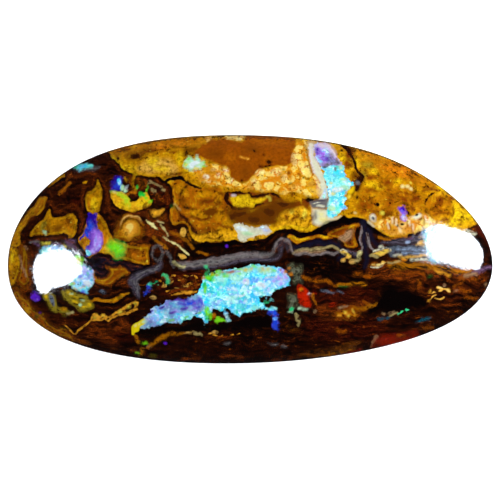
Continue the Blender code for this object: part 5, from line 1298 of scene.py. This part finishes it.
def plug(tree: bpy.types.NodeTree, socket: bpy.types.NodeSocket, value: object) -> None:
    """Links a wire to a socket, or sets the socket's constant.

    Args:
        tree: The node tree.
        socket: The input.
        value: A wire, a tone, a number or a tuple of numbers.
    """
    if isinstance(value, Wire):
        tree.links.new(value.socket, socket)
    elif isinstance(value, Tone):
        socket.default_value = (*linear(value).tolist(), 1.0)
    else:
        socket.default_value = value


@dataclass(frozen=True)
class Shader:
    """Makes the nodes of one material."""

    tree: bpy.types.NodeTree

    def node(self, kind: str, settings: dict[str, object], sockets: dict[str, object],
             output: Union[str, int] = 0) -> Wire:
        """Adds a node.

        Args:
            kind: The node's type.
            settings: Its properties, set first.
            sockets: Wires or constants of its inputs, by name or by number.
            output: Name or number of the output that is used.

        Returns:
            That output.
        """
        node = self.tree.nodes.new(kind)
        for name, value in settings.items():
            setattr(node, name, value)
        for name, value in sockets.items():
            plug(self.tree, node.inputs[name], value)
        return Wire(self.tree, node.outputs[output])

    def number(self, name: str) -> Wire:
        """Reads a number stored at the mesh's points."""
        return self.node("ShaderNodeAttribute", {"attribute_name": name}, {}, "Fac")

    def tint(self, name: str) -> tuple[Wire, Wire]:
        """Reads a colour stored at the mesh's points, and its fourth value."""
        colour = self.node("ShaderNodeAttribute", {"attribute_name": name}, {}, "Color")
        return colour, Wire(self.tree, colour.socket.node.outputs["Alpha"])

    def channel(self, colour: Wire, name: str) -> Wire:
        """One channel of a colour: Red, Green or Blue."""
        return self.node("ShaderNodeSeparateColor", {}, {0: colour}, name)

    def mix(self, under: object, over: object, share: Union[Wire, float], blend: str = "MIX") -> Wire:
        """Lays one colour over another as far as the share says."""
        settings = {"data_type": "RGBA", "blend_type": blend, "clamp_factor": True}
        return self.node("ShaderNodeMix", settings, {0: share, 6: under, 7: over}, 2)

    def scale(self, vector: Wire, amount: tuple[float, float, float]) -> Wire:
        """Multiplies a vector or a colour by three numbers."""
        return self.node("ShaderNodeVectorMath", {"operation": "MULTIPLY"}, {0: vector, 1: amount})

    def shade(self, colour: Wire, amount: Wire) -> Wire:
        """Brightens or darkens a colour by one changing amount."""
        sockets = {0: colour, "Scale": amount}
        return self.node("ShaderNodeVectorMath", {"operation": "SCALE"}, sockets)

    def shift(self, vector: Wire, noise: Wire, amount: float) -> Wire:
        """Moves a vector by a noise's three colours, centred on zero."""
        centred = self.node("ShaderNodeVectorMath", {"operation": "SUBTRACT"},
                            {0: noise, 1: (0.5, 0.5, 0.5)})
        moved = self.scale(centred, (amount, amount, amount))
        return self.node("ShaderNodeVectorMath", {"operation": "ADD"}, {0: vector, 1: moved})

    def noise(self, vector: Wire, scale: float, detail: float = 3.0, rough: float = 0.5,
              output: str = "Fac") -> Wire:
        """Cloudy noise in the vector's units."""
        sockets = {"Vector": vector, "Scale": scale, "Detail": detail, "Roughness": rough}
        return self.node("ShaderNodeTexNoise", {"noise_dimensions": "3D"}, sockets, output)

    def cells(self, vector: Wire, scale: float, feature: str = "F1", output: str = "Color") -> Wire:
        """Cells round scattered points: a random colour of each, or the distance to its point."""
        settings = {"voronoi_dimensions": "3D", "feature": feature}
        return self.node("ShaderNodeTexVoronoi", settings, {"Vector": vector, "Scale": scale}, output)


@dataclass(frozen=True)
class Grain:
    """Places and noises that the stone's layers share.

    Args:
        place: The place in millimetres.
        flow: The place stretched along the flow bands.
        ragged: Noise centred on zero, by which edges wander.
        coarse: Cloudy noise.
        fine: Grainy noise.
    """

    place: Wire
    flow: Wire
    ragged: Wire
    coarse: Wire
    fine: Wire


@dataclass(frozen=True)
class Streaks:
    """How a layer of lines and bands is drawn.

    Args:
        name: Start of its attributes' names.
        wander: How far noise moves its edges, in millimetres.
        contrast: Strength of the streaks along the flow.
        gaps: How far it is left out where the grain is low.
        lines: Strength of the fine lines beside its edges.
    """

    name: str
    wander: float
    contrast: float
    gaps: float = 0.0
    lines: float = 0.0


# Layers of lines under the opal, from the lowest up, and the one over it
LINE_LAYERS = (
    Streaks("dark", 0.4, 0.3),
    Streaks("band", 0.35, 1.0, 0.2, 0.2),
    Streaks("thread", 0.38, 0.8, 0.7, 0.05),
)
ACCENT_LAYER = Streaks("accent", 0.1, 0.3)


@dataclass(frozen=True)
class StoneFinish:
    """The polished ironstone and opal.

    Args:
        albedo: Share of the display colours that the surface reflects, as the light is stronger.
        polish: Roughness of the polished dome.
        ground: Roughness of the ground back.
        coat: Strength of the mirror gloss.
        specular: Level of the stone's own reflection.
        coat_roughness: Roughness of the mirror gloss.
        bump: Depth of the finest unevenness, in metres.
        flow_scale: How the streaks are drawn out along the flow, and squeezed across it.
    """

    albedo: float = 0.46
    polish: float = 0.07
    ground: float = 0.55
    coat: float = 0.6
    specular: float = 0.6
    coat_roughness: float = 0.03
    bump: float = 0.00004
    flow_scale: tuple[float, float] = (0.4, 1.7)

    def material(self) -> bpy.types.Material:
        """Builds the material from the attributes that the stone's mesh carries.

        Returns:
            The material.
        """
        material, shader = new_material("polished_ironstone_and_opal")
        tree = shader.tree
        surface = tree.nodes["Principled BSDF"]
        metres = shader.node("ShaderNodeTexCoord", {}, {}, "Object")
        place = shader.scale(metres, (1.0 / MM, 1.0 / MM, 1.0 / MM))
        level = shader.number("flow")
        along = shader.node("ShaderNodeSeparateXYZ", {}, {0: place}, 0)
        stretch, squeeze = self.flow_scale
        flow = shader.node("ShaderNodeCombineXYZ", {}, {0: along * stretch, 1: level * squeeze, 2: 0.0})
        grain = Grain(
            place=place,
            flow=flow,
            ragged=shader.noise(place, 2.2, 4.0, 0.7) - 0.5,
            coarse=shader.noise(shader.shift(place, shader.noise(place, 0.8, 1.0, 0.5, "Color"), 1.2),
                                1.1, 4.0, 0.62).spread(2.4),
            fine=shader.noise(place, 4.0, 3.0, 0.65).spread(2.6),
        )

        colour = self.ironstone(shader, grain)
        for dress in (self.matrix, self.crust):
            tint, cover = dress(shader, grain)
            colour = shader.mix(colour, tint, cover)
        for layer in LINE_LAYERS:
            tint, cover = self.streaked(shader, grain, layer)
            colour = shader.mix(colour, tint, cover)
        tint, cover = self.opal(shader, grain)
        colour = shader.mix(colour, tint, cover)
        tint, cover = self.streaked(shader, grain, ACCENT_LAYER)
        colour = shader.mix(colour, tint, cover)

        back = shader.number("back")
        ground_back = shader.mix(Tone.CHOCOLATE, Tone.BROWN, grain.fine.step(0.35, 0.75))
        colour = shader.mix(colour, ground_back, back)
        colour = shader.scale(colour, (self.albedo, self.albedo, self.albedo))
        plug(tree, surface.inputs["Base Color"], colour)

        roughness = self.polish + grain.coarse.step(0.5, 0.75) * 0.03 + back * (self.ground - self.polish)
        plug(tree, surface.inputs["Roughness"], roughness)
        plug(tree, surface.inputs["Coat Weight"], self.coat * (1.0 - back))
        surface.inputs["Coat Roughness"].default_value = self.coat_roughness
        surface.inputs["Specular IOR Level"].default_value = self.specular
        height = shader.noise(place, 1.1, 2.0, 0.5) * 0.6 + grain.ragged * 0.06 + grain.fine * back * 1.5
        bump = shader.node("ShaderNodeBump", {}, {"Strength": 1.0, "Distance": self.bump, "Height": height})
        plug(tree, surface.inputs["Normal"], bump)
        return material

    def cut(self, shader: Shader, name: str, grain: Grain, wander: float) -> tuple[Wire, Wire]:
        """Tint of a group of crisp markings, and its cover: half where the wandering distance is
        zero, full an edge's softness inside.

        Args:
            shader: Adds the nodes.
            name: Start of the group's attributes.
            grain: The places and noises that the layers share.
            wander: How far noise moves its edges, in millimetres.

        Returns:
            The tint and the cover.
        """
        tint, edge = shader.tint(name + "_tint")
        gap = shader.number(name + "_gap") + grain.ragged * wander
        return tint, (0.5 - gap / (edge * 2.0)).clamp()

    def ironstone(self, shader: Shader, grain: Grain) -> Wire:
        """The dark ironstone: near-black umber with its zones, streaked along the flow, ringed by
        thin contour lines, and darkest and then rusty round the golden cells.

        Args:
            shader: Adds the nodes.
            grain: The places and noises that the layers share.

        Returns:
            Its colour.
        """
        zones, cover = shader.tint("ground_zone")
        bend = shader.noise(grain.place, 0.7, 2.0, 0.5, "Color")
        warped = shader.shift(grain.flow, bend, 1.3)
        streak = shader.noise(warped, 1.7, 6.0, 0.66).spread(2.4)
        smooth = shader.noise(warped, 0.9, 1.5, 0.5)
        fine = shader.noise(warped, 6.0, 3.0, 0.65).spread(2.2)
        rings = (smooth * 75.0).math("SINE", smooth * 75.0)
        colour = shader.mix(Tone.UMBER, zones, (cover * (0.25 + streak * 1.3)).clamp())
        colour = shader.mix(colour, Tone.BLACK, streak.step(0.62, 0.2) * 0.9)
        contour = rings.step(0.7, 1.0) * streak.step(0.3, 0.8)
        colour = shader.mix(colour, Tone.RUST, contour * 0.4)
        glint = streak.step(0.62, 0.9) * fine.step(0.52, 0.8)
        colour = shader.mix(colour, Tone.SIENNA, glint * 0.75)
        gold_gap = shader.number("gold_gap") + grain.ragged * 0.6
        dark_rim = gold_gap.step(0.28, 0.1) * (0.3 + grain.coarse * 0.65)
        colour = shader.mix(colour, Tone.BLACK, dark_rim)
        rust = gold_gap.step(0.24, 0.3) * gold_gap.step(0.42, 0.34)
        colour = shader.mix(colour, Tone.RUST, rust * streak.step(0.3, 0.7) * 0.6)
        return shader.shade(colour, 0.24 + fine * 1.12)

    def matrix(self, shader: Shader, grain: Grain) -> tuple[Wire, Wire]:
        """The golden matrix: mottled from brown to yellow, with dark flakes, pale specks, fine
        rusty cracks and a yellow rim.

        Args:
            shader: Adds the nodes.
            grain: The places and noises that the layers share.

        Returns:
            Its tint and its cover.
        """
        tint, cover = self.cut(shader, "gold", grain, 0.34)
        zones, zone_cover = shader.tint("gold_zone")
        tint = shader.mix(tint, zones, (zone_cover * (0.6 + grain.fine * 0.6)).clamp())
        tint = shader.mix(tint, Tone.BROWN, grain.coarse.step(0.42, 0.12) * 0.8)
        tint = shader.mix(tint, Tone.YELLOW, grain.coarse.step(0.66, 0.95) * 0.35)
        flake = shader.noise(grain.place, 3.0, 4.0, 0.7).spread(2.4)
        tint = shader.mix(tint, Tone.UMBER, flake.step(0.3, 0.12) * 0.75)
        tint = shader.mix(tint, Tone.LEMON, flake.step(0.82, 1.0) * 0.6)
        vein = shader.noise(grain.place, 0.9, 4.0, 0.6) - 0.5
        crack = vein.math("ABSOLUTE", vein).step(0.012, 0.003)
        tint = shader.mix(tint, Tone.RUST, crack * grain.coarse.step(0.7, 0.3) * 0.7)
        inside = shader.number("gold_gap") + 0.15
        rim = inside.math("ABSOLUTE", inside)
        tint = shader.mix(tint, Tone.YELLOW, rim.step(0.1, 0.0) * 0.3)
        return shader.shade(tint, 0.36 + grain.fine * 0.8 + grain.coarse * 0.44), cover

    def crust(self, shader: Shader, grain: Grain) -> tuple[Wire, Wire]:
        """Crust and concretion: zones of colour, and where they are pale a crust of crystals, each
        its own brightness, with orange between them.

        Args:
            shader: Adds the nodes.
            grain: The places and noises that the layers share.

        Returns:
            Its tint and its cover.
        """
        tint, cover = self.cut(shader, "crust", grain, 0.5)
        zones, zone_cover = shader.tint("crust_zone")
        tint = shader.mix(tint, zones, (zone_cover * (0.6 + grain.fine * 0.6)).clamp())
        pale = shader.channel(tint, "Green").step(0.2, 0.38)
        bent = shader.shift(grain.place, shader.noise(grain.place, 2.4, 2.0, 0.6, "Color"), 0.7)
        crystal = shader.channel(shader.cells(bent, 1.25), "Red")
        seam = shader.cells(bent, 1.25, "DISTANCE_TO_EDGE", "Distance")
        crystals = crystal.step(0.0, 0.35) * seam.step(0.02, 0.2) * (0.6 + grain.coarse * 0.8)
        tint = shader.mix(tint, Tone.CREAM, (crystals * pale * 0.95).clamp())
        dull = crystal.step(0.3, 0.05) * seam.step(0.0, 0.2)
        tint = shader.mix(tint, Tone.AMBER, dull * pale * 0.7)
        between = seam.step(0.12, 0.0) * grain.coarse.step(0.8, 0.4)
        tint = shader.mix(tint, Tone.ORANGE, between * pale)
        tint = shader.mix(tint, Tone.RUST, grain.fine.step(0.26, 0.1) * pale * 0.7)
        return shader.shade(tint, 0.78 + grain.fine * 0.5 + grain.coarse * 0.14), cover

    def streaked(self, shader: Shader, grain: Grain, layer: Streaks) -> tuple[Wire, Wire]:
        """Lines and bands: their own tint, streaked along the flow, with fine lines beside their
        edges, and gaps where the grain is low.

        Args:
            shader: Adds the nodes.
            grain: The places and noises that the layers share.
            layer: How it is drawn.

        Returns:
            Its tint and its cover.
        """
        tint, cover = self.cut(shader, layer.name, grain, layer.wander)
        streak = shader.noise(shader.scale(grain.flow, (2.5, 6.5, 1.0)), 1.0, 3.0, 0.6).spread(2.4)
        shade = (1.0 - layer.contrast * 0.5) + (streak * 0.5 + grain.fine * 0.5) * layer.contrast
        turns = shader.number(layer.name + "_gap") * 34.0 + (grain.coarse + grain.fine * 0.5) * 7.0
        shade = shade * ((1.0 - layer.lines) + turns.math("SINE", turns) * layer.lines)
        return shader.shade(tint, shade), cover * (1.0 - grain.fine.step(0.4, 0.1) * layer.gaps)

    def opal(self, shader: Shader, grain: Grain) -> tuple[Wire, Wire]:
        """The opal: its play of colour, broken into a mosaic of grains, each its own brightness;
        in the pale blue opal some are sky blue, white, mint, cyan, green or periwinkle, and in the
        deep blue some are periwinkle, indigo or magenta.

        Args:
            shader: Adds the nodes.
            grain: The places and noises that the layers share.

        Returns:
            Its tint and its cover.
        """
        tint, cover = self.cut(shader, "opal", grain, 0.85)
        play, play_cover = shader.tint("opal_play")
        tint = shader.mix(tint, play, (play_cover * (0.6 + grain.fine * 0.7)).clamp())
        bent = shader.shift(grain.place, shader.noise(grain.place, 3.0, 2.0, 0.6, "Color"), 0.5)
        own_red = shader.channel(tint, "Red")
        own_green = shader.channel(tint, "Green")
        own_blue = shader.channel(tint, "Blue")
        lively = (own_blue - own_red).step(0.08, 0.35) * own_green.step(0.12, 0.3)
        lively = lively * (0.4 + (own_blue - own_green).step(-0.2, 0.0) * 0.6)
        for scale, strength in ((1.5, 0.45), (4.4, 0.48)):
            grains = shader.cells(bent, scale)
            red = shader.channel(grains, "Red")
            green = shader.channel(grains, "Green")
            blue = shader.channel(grains, "Blue")
            for tone, share in ((Tone.SKY, red.step(0.66, 0.8)), (Tone.WHITE, green.step(0.72, 0.95)),
                                (Tone.MINT, blue.step(0.66, 0.8)), (Tone.PERIWINKLE, red.step(0.2, 0.1)),
                                (Tone.CYAN, green.step(0.35, 0.2)), (Tone.GREEN, blue.step(0.06, 0.03))):
                tint = shader.mix(tint, tone, share * lively * strength)
            deep = (own_blue - own_red).step(0.15, 0.4) * own_green.step(0.2, 0.1)
            for tone, share in ((Tone.PERIWINKLE, red.step(0.78, 0.9)), (Tone.INDIGO, blue.step(0.45, 0.3)),
                                (Tone.MAGENTA, green.step(0.12, 0.06))):
                tint = shader.mix(tint, tone, share * deep * strength * 0.7)
        speck = shader.noise(bent, 5.5, 3.0, 0.6).spread(2.2)
        gleam = speck.step(0.74, 1.0) * own_green.step(0.1, 0.3) * (0.15 + lively * 0.5)
        tint = shader.mix(tint, Tone.WHITE, gleam)
        shade = 0.74 + (green * 0.5 + speck * 0.55) * (0.4 + lively * 0.6)
        return shader.shade(tint, shade), cover


def new_material(name: str) -> tuple[bpy.types.Material, Shader]:
    """Makes a material with nodes.

    Args:
        name: Its name.

    Returns:
        The material, and what adds nodes to it.
    """
    material = bpy.data.materials.new(name)
    material.use_nodes = True
    return material, Shader(material.node_tree)


def put(name: str, data: bpy.types.ID) -> bpy.types.Object:
    """Puts a mesh or a camera into the scene.

    Args:
        name: The object's name.
        data: The mesh or the camera.

    Returns:
        The object.
    """
    thing = bpy.data.objects.new(name, data)
    bpy.context.scene.collection.objects.link(thing)
    return thing


@dataclass
class BoulderOpal:
    """The stone: its sizes in metres, its surface and its markings.

    Args:
        length: Size along X.
        width: Size along Y.
        height: Height of the crown.
        girdle_height: Height of the widest outline.
        back_inset: How far the flat back's edge lies inside the outline.
        crown_power: How flat the crown is.
        shoulder_power: How full the shoulder is.
        outline_shares: How far an ellipse swells at bearings spaced evenly from +X towards +Y.
        swells: Broad low swells of the polish: x, y, radius and rise.
        across: Grid cells along the length and the width.
        edge_levels: Rings of the rounded lower edge.
        back_levels: Rings of the flat back.
    """

    length: float = 38.8 * MM
    width: float = 18.3 * MM
    height: float = 5.8 * MM
    girdle_height: float = 1.4 * MM
    back_inset: float = 0.9 * MM
    crown_power: float = 2.2
    shoulder_power: float = 0.5
    outline_shares: tuple[float, ...] = (
        0.996, 0.963, 0.973, 0.999, 1.004, 1.037, 1.029, 0.989,
        0.994, 1.055, 1.099, 1.050, 0.999, 1.001, 1.040, 1.045,
    )
    swells: tuple[tuple[float, float, float, float], ...] = (
        (-12.5 * MM, 0.5 * MM, 3.6 * MM, 0.10 * MM),
        (-4.0 * MM, 3.5 * MM, 5.0 * MM, -0.07 * MM),
        (6.5 * MM, 2.0 * MM, 5.5 * MM, 0.08 * MM),
        (3.0 * MM, -4.5 * MM, 4.5 * MM, -0.06 * MM),
        (13.0 * MM, -1.5 * MM, 4.0 * MM, 0.07 * MM),
    )
    across: tuple[int, int] = (396, 200)
    edge_levels: int = 6
    back_levels: int = 4
    finish: StoneFinish = field(default_factory=StoneFinish)

    def unit_outline(self, bearings: np.ndarray) -> np.ndarray:
        """A unit circle swollen by the smoothest wave through the shares.

        Args:
            bearings: Angles from +X towards +Y.

        Returns:
            A point for each bearing.
        """
        count = len(self.outline_shares)
        harmonics = np.fft.rfft(self.outline_shares) / count
        share = np.full(bearings.shape, harmonics[0].real)
        for order, harmonic in enumerate(harmonics[1:], start=1):
            weight = 1.0 if 2 * order == count else 2.0
            share += weight * (harmonic * np.exp(1j * order * bearings)).real
        return np.stack([share * np.cos(bearings), share * np.sin(bearings)], axis=1)

    def outline(self, bearings: np.ndarray) -> np.ndarray:
        """The widest outline, fitted to the length and width and centred.

        Args:
            bearings: Angles from +X towards +Y.

        Returns:
            A point for each bearing, in metres.
        """
        samples = 1441
        whole = self.unit_outline(np.linspace(0.0, FULL_TURN, samples))
        low, high = whole.min(axis=0), whole.max(axis=0)
        size = np.array([self.length, self.width])
        return (self.unit_outline(bearings) - (low + high) / 2.0) / (high - low) * size

    def dome(self, discs: np.ndarray) -> np.ndarray:
        """Points of the dome over points of a unit disc: at share s of the way out the height is
        girdle + (height - girdle) (1 - s^crown)^shoulder, plus the polish's swells times 1 - s^2.

        Args:
            discs: Points of the unit disc.

        Returns:
            Points of the dome, in metres.
        """
        share = np.clip(np.linalg.norm(discs, axis=1), 0.0, 1.0)
        flat = self.outline(np.arctan2(discs[:, 1], discs[:, 0])) * share[:, None]
        rise = (1.0 - share**self.crown_power) ** self.shoulder_power
        height = self.girdle_height + (self.height - self.girdle_height) * rise
        for x, y, radius, lift in self.swells:
            away = ((flat[:, 0] - x) ** 2 + (flat[:, 1] - y) ** 2) / radius**2
            height = height + lift * np.exp(-away) * (1.0 - share**2)
        return np.column_stack([flat, height])

    def normals(self, discs: np.ndarray) -> np.ndarray:
        """Upward unit normals of the dome, from points a small step away on the disc.

        Args:
            discs: Points of the unit disc.

        Returns:
            A normal for each.
        """
        step = 1e-4
        here = self.dome(discs)
        along = self.dome(discs + np.array([step, 0.0])) - here
        aside = self.dome(discs + np.array([0.0, step])) - here
        normal = np.cross(along, aside)
        return normal / np.linalg.norm(normal, axis=1, keepdims=True)

    def disc_at(self, place: Point) -> np.ndarray:
        """The point of the unit disc whose dome point lies at a place seen from above, in
        millimetres, found by steps that each make good what the last one missed.

        Args:
            place: The place.

        Returns:
            The point of the disc.
        """
        target = np.array(place) * MM
        radii = np.array([self.length / 2.0, self.width / 2.0])
        disc = target / radii
        steps = 30
        for _ in range(steps):
            disc = disc + (target - self.dome(disc[None, :])[0, :2]) / radii
        return disc

    def grid(self) -> tuple[np.ndarray, np.ndarray, np.ndarray]:
        """A square grid pressed into the unit disc: x = u sqrt(1 - v^2 / 2), y = v sqrt(1 - u^2 / 2).

        Returns:
            Points of the disc, quads of their indices, and the rim's indices in order.
        """
        wide, deep = self.across
        u, v = np.meshgrid(np.linspace(-1, 1, wide + 1), np.linspace(-1, 1, deep + 1))
        discs = np.stack([u * np.sqrt(1.0 - v**2 / 2.0), v * np.sqrt(1.0 - u**2 / 2.0)], axis=-1)
        index = np.arange((wide + 1) * (deep + 1)).reshape(deep + 1, wide + 1)
        corners = (index[:-1, :-1], index[:-1, 1:], index[1:, 1:], index[1:, :-1])
        quads = np.stack([corner.ravel() for corner in corners], axis=1)
        rim = np.concatenate([index[0, :-1], index[:-1, -1], index[-1, :0:-1], index[:0:-1, 0]])
        return discs.reshape(-1, 2), quads, rim

    def build(self) -> bpy.types.Object:
        """Builds the stone's mesh: the dome's grid, rings round the lower edge, a quarter of an
        ellipse in section, rings across the flat back and a fan at its middle.

        Returns:
            The stone.
        """
        discs, quads, rim = self.grid()
        dome = self.dome(discs)
        rim_flat = dome[rim, :2]
        turn = np.linspace(0.0, math.pi / 2.0, self.edge_levels + 1)[1:]
        back_share = 1.0 - self.back_inset / (self.width / 2.0)
        shares = 1.0 - (1.0 - back_share) * (1.0 - np.cos(turn))
        heights = self.girdle_height * (1.0 - np.sin(turn))
        inner = np.linspace(back_share, 0.0, self.back_levels + 1)[1:-1]
        shares = np.concatenate([shares, inner])
        heights = np.concatenate([heights, np.zeros(len(inner))])
        rings = [np.column_stack([rim_flat * share, np.full(len(rim), height)])
                 for share, height in zip(shares, heights)]
        points = np.vstack([dome, *rings, np.zeros((1, 3))])
        first = len(dome) + np.arange(len(rings))[:, None] * len(rim) + np.arange(len(rim))
        levels = np.vstack([rim[None, :], first])
        ahead = np.roll(levels, -1, axis=1)
        walls = np.stack([levels[:-1], levels[1:], ahead[1:], ahead[:-1]], axis=-1).reshape(-1, 4)
        middle = np.full(len(rim), len(points) - 1)
        fan = np.stack([levels[-1], middle, ahead[-1]], axis=1)
        mesh = bpy.data.meshes.new("boulder_opal_stone")
        faces = np.vstack([quads, walls]).tolist() + fan.tolist()
        mesh.from_pydata(points.tolist(), [], faces)
        mesh.update()
        mesh.shade_smooth()
        stone = put("boulder_opal_stone", mesh)
        self.mark(mesh, points)
        mesh.materials.append(self.finish.material())
        return stone

    def mark(self, mesh: bpy.types.Mesh, points: np.ndarray) -> None:
        """Stores the markings on the mesh: distances, tints, the flow's level and the back.

        Args:
            mesh: The stone's mesh.
            points: Its points, in metres.
        """
        places = points[:, :2] / MM
        for wavelength, amount, seed in WANDERS:
            places = wobble(places, wavelength, amount, seed)
        for cut in (Cut("gold", GOLD_AREAS), Cut("crust", CRUST_AREAS), Cut("dark", DARK_LINES_AND_PAINTED_RIM_SHADE),
                    Cut("band", BAND_LINES_AND_PAINTED_GLARE), Cut("thread", THREADS_AND_PAINTED_GLARE), Cut("opal", OPAL_AREAS_AND_PAINTED_GLARE),
                    Cut("accent", ACCENTS)):
            gap, tint = cut.paint(places)
            store(mesh, cut.name + "_gap", gap)
            store(mesh, cut.name + "_tint", tint)
        for wash in (Wash("ground_zone", GROUND_ZONES_AND_PAINTED_RIM_SHADE), Wash("gold_zone", GOLD_ZONES),
                     Wash("crust_zone", CRUST_ZONES), Wash("opal_play", OPAL_PLAY)):
            store(mesh, wash.name, wash.paint(places))
        store(mesh, "flow", MAIN_COURSE.level(places))
        ground_height = 0.25 * self.girdle_height
        store(mesh, "back", np.clip((ground_height - points[:, 2]) / ground_height, 0.0, 1.0))


def store(mesh: bpy.types.Mesh, name: str, values: np.ndarray) -> None:
    """Stores values at a mesh's points, as numbers or as colours.

    Args:
        mesh: The mesh.
        name: The attribute's name.
        values: One number or four for each point.
    """
    is_colour = values.ndim == 2
    kind = "FLOAT_COLOR" if is_colour else "FLOAT"
    attribute = mesh.attributes.new(name, kind, "POINT")
    attribute.data.foreach_set("color" if is_colour else "value", values.astype(np.float32).ravel())


# Colours of the studio's floor and light, as a shader's sockets take them
PALE_GREY = (0.8, 0.8, 0.8, 1.0)
WHITE_LIGHT = (1.0, 1.0, 1.0, 1.0)


@dataclass
class Studio:
    """Camera, floor and lights.

    Args:
        lens: The camera's focal length in millimetres, long so that the view is nearly flat.
        sensor: Width of its sensor in millimetres.
        frame_width: Width that the camera sees at the stone's girdle, in metres.
        aim: Point of the girdle plane at the middle of the picture, in metres.
        light_height: Height of the soft boxes, in metres.
        glow: Radiance of the soft boxes.
        fringe: Share of its size over which a soft box fades outwards, past its outline.
        box_colour: Tint of the soft boxes' light.
        floor_reach: Half the floor's width, in metres.
        floor_gap: How far the floor lies under the stone, in metres.
        floor_glow: Light that the floor gives off.
        dimness: Light of the surroundings.
    """

    lens: float = 300.0
    sensor: float = 36.0
    frame_width: float = 40.0 * MM
    aim: Point = (-0.012 * MM, -0.06 * MM)
    light_height: float = 0.2
    glow: float = 26.0
    fringe: float = 0.12
    box_colour: tuple[float, float, float] = (0.82, 0.9, 1.0)
    floor_reach: float = 0.7
    floor_gap: float = 0.02 * MM
    floor_glow: float = 0.75
    dimness: float = 0.012

    def camera(self, stone: BoulderOpal) -> bpy.types.Object:
        """Looks straight down on the stone, as the photo does.

        Args:
            stone: The stone.

        Returns:
            The camera.
        """
        data = bpy.data.cameras.new("camera")
        data.lens = self.lens
        data.sensor_width = self.sensor
        data.clip_start = 0.01
        data.clip_end = 5.0
        camera = put("camera", data)
        distance = self.frame_width * self.lens / self.sensor
        camera.location = (*self.aim, stone.girdle_height + distance)
        bpy.context.scene.camera = camera
        return camera

    def softbox(self, name: str, stone: BoulderOpal, outline: Sequence[Point]) -> bpy.types.Object:
        """A flat glowing panel whose mirror image in the dome has a given outline: from each point
        of the outline a ray straight down is thrown back, to 2 (n . up) n - up, until it reaches
        the panel's height.

        Args:
            name: The panel's name.
            stone: The stone.
            outline: Outline of the mirror image seen from above, in millimetres.

        Returns:
            The panel.
        """
        edge = rounded_line(outline, True, 3)[:-1]
        discs = np.array([stone.disc_at(place) for place in edge])
        points, normals = stone.dome(discs), stone.normals(discs)
        away = 2.0 * normals[:, 2:] * normals - np.array([0.0, 0.0, 1.0])
        corners = points + away * ((self.light_height - points[:, 2]) / away[:, 2])[:, None]
        middle = corners.mean(axis=0)
        corners = np.concatenate([corners, middle + (corners - middle) * (1.0 + self.fringe)])
        count = len(edge)
        steps = [(step, (step + 1) % count) for step in range(count)]
        faces = [tuple(range(count))]
        faces += [(here, here + count, onward + count, onward) for here, onward in steps]
        mesh = bpy.data.meshes.new(name)
        mesh.from_pydata(corners.tolist(), [], faces)
        store(mesh, "brightness", np.repeat([1.0, 0.0], count))
        material, shader = new_material(name)
        brightness = shader.number("brightness")
        colour = shader.shade(self.box_colour, brightness * brightness)
        glow = shader.node("ShaderNodeEmission", {}, {"Color": colour, "Strength": self.glow})
        plug(shader.tree, shader.tree.nodes["Material Output"].inputs["Surface"], glow)
        mesh.materials.append(material)
        panel = put(name, mesh)
        panel.visible_camera = False
        size = corners.max(axis=0) - corners.min(axis=0)
        LOG.info("%s is %.0f by %.0f mm at %s", name, size[0] / MM, size[1] / MM,
                 np.round(corners.mean(axis=0) / MM))
        return panel

    def floor(self) -> bpy.types.Object:
        """A plain pale floor a hair under the stone's flat back, that glows a little to stay white."""
        mesh = bpy.data.meshes.new("studio_floor")
        reach, height = self.floor_reach, -self.floor_gap
        corners = [(-reach, -reach, height), (reach, -reach, height), (reach, reach, height),
                   (-reach, reach, height)]
        mesh.from_pydata(corners, [], [(0, 1, 2, 3)])
        material, shader = new_material("pale_floor")
        finish = {"Base Color": PALE_GREY, "Roughness": 0.9, "Specular IOR Level": 0.0,
                  "Emission Color": WHITE_LIGHT, "Emission Strength": self.floor_glow}
        for name, value in finish.items():
            plug(shader.tree, shader.tree.nodes["Principled BSDF"].inputs[name], value)
        mesh.materials.append(material)
        floor = put("studio_floor", mesh)
        floor.visible_glossy = False
        return floor

    def world(self) -> None:
        """A dim surrounding, so that the dome mirrors little but the soft boxes."""
        world = bpy.data.worlds.new("dim_studio")
        world.use_nodes = True
        background = world.node_tree.nodes["Background"]
        background.inputs["Color"].default_value = WHITE_LIGHT
        background.inputs["Strength"].default_value = self.dimness
        bpy.context.scene.world = world


# Outlines of the two soft boxes' mirror images on the dome, in millimetres
LEFT_GLARE: tuple[Point, ...] = (
    (-17.4, -1.1), (-16.8, -0.5), (-16, -0.2), (-15.3, -0.3), (-14.7, -0.5), (-14.25, -1), (-14.1, -1.6),
    (-14.4, -2.2), (-14.8, -2.6), (-15.4, -2.9), (-16, -3.1), (-16.5, -3.35), (-17, -3.3), (-17.2, -2.9),
    (-17.4, -2),
)
RIGHT_GLARE: tuple[Point, ...] = (
    (15.5, 1.62), (15.8, 1.64), (16.3, 1.5), (17.2, 1.25), (17.9, 0.9), (18.4, 0.3), (18.65, -0.4),
    (18.6, -1.1), (18.2, -1.45), (17.4, -1.42), (16.6, -1.15), (16, -0.95), (15.5, -0.7), (15.3, -0.2),
    (15.25, 0.5), (15.3, 1.2),
)


def main() -> None:
    """Builds the stone and the studio, and logs the stone's points and faces and each soft box's corners.
    """
    logging.basicConfig(level=logging.INFO, format="%(name)s: %(message)s")
    bpy.context.scene.view_settings.view_transform = "Standard"
    opal = BoulderOpal()
    stone = opal.build()
    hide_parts("boulder_opal")
    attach(stone, "root")
    LOG.info("%s: %d points, %d faces", stone.name, len(stone.data.vertices), len(stone.data.polygons))
    studio = Studio()
    studio.camera(opal)
    studio.world()
    studio.floor()
    for name, outline in (("soft_box_left", LEFT_GLARE), ("soft_box_right", RIGHT_GLARE)):
        panel = studio.softbox(name, opal, outline)
        LOG.info("%s: %d corners", panel.name, len(panel.data.vertices))


if __name__ == "__main__":
    main()
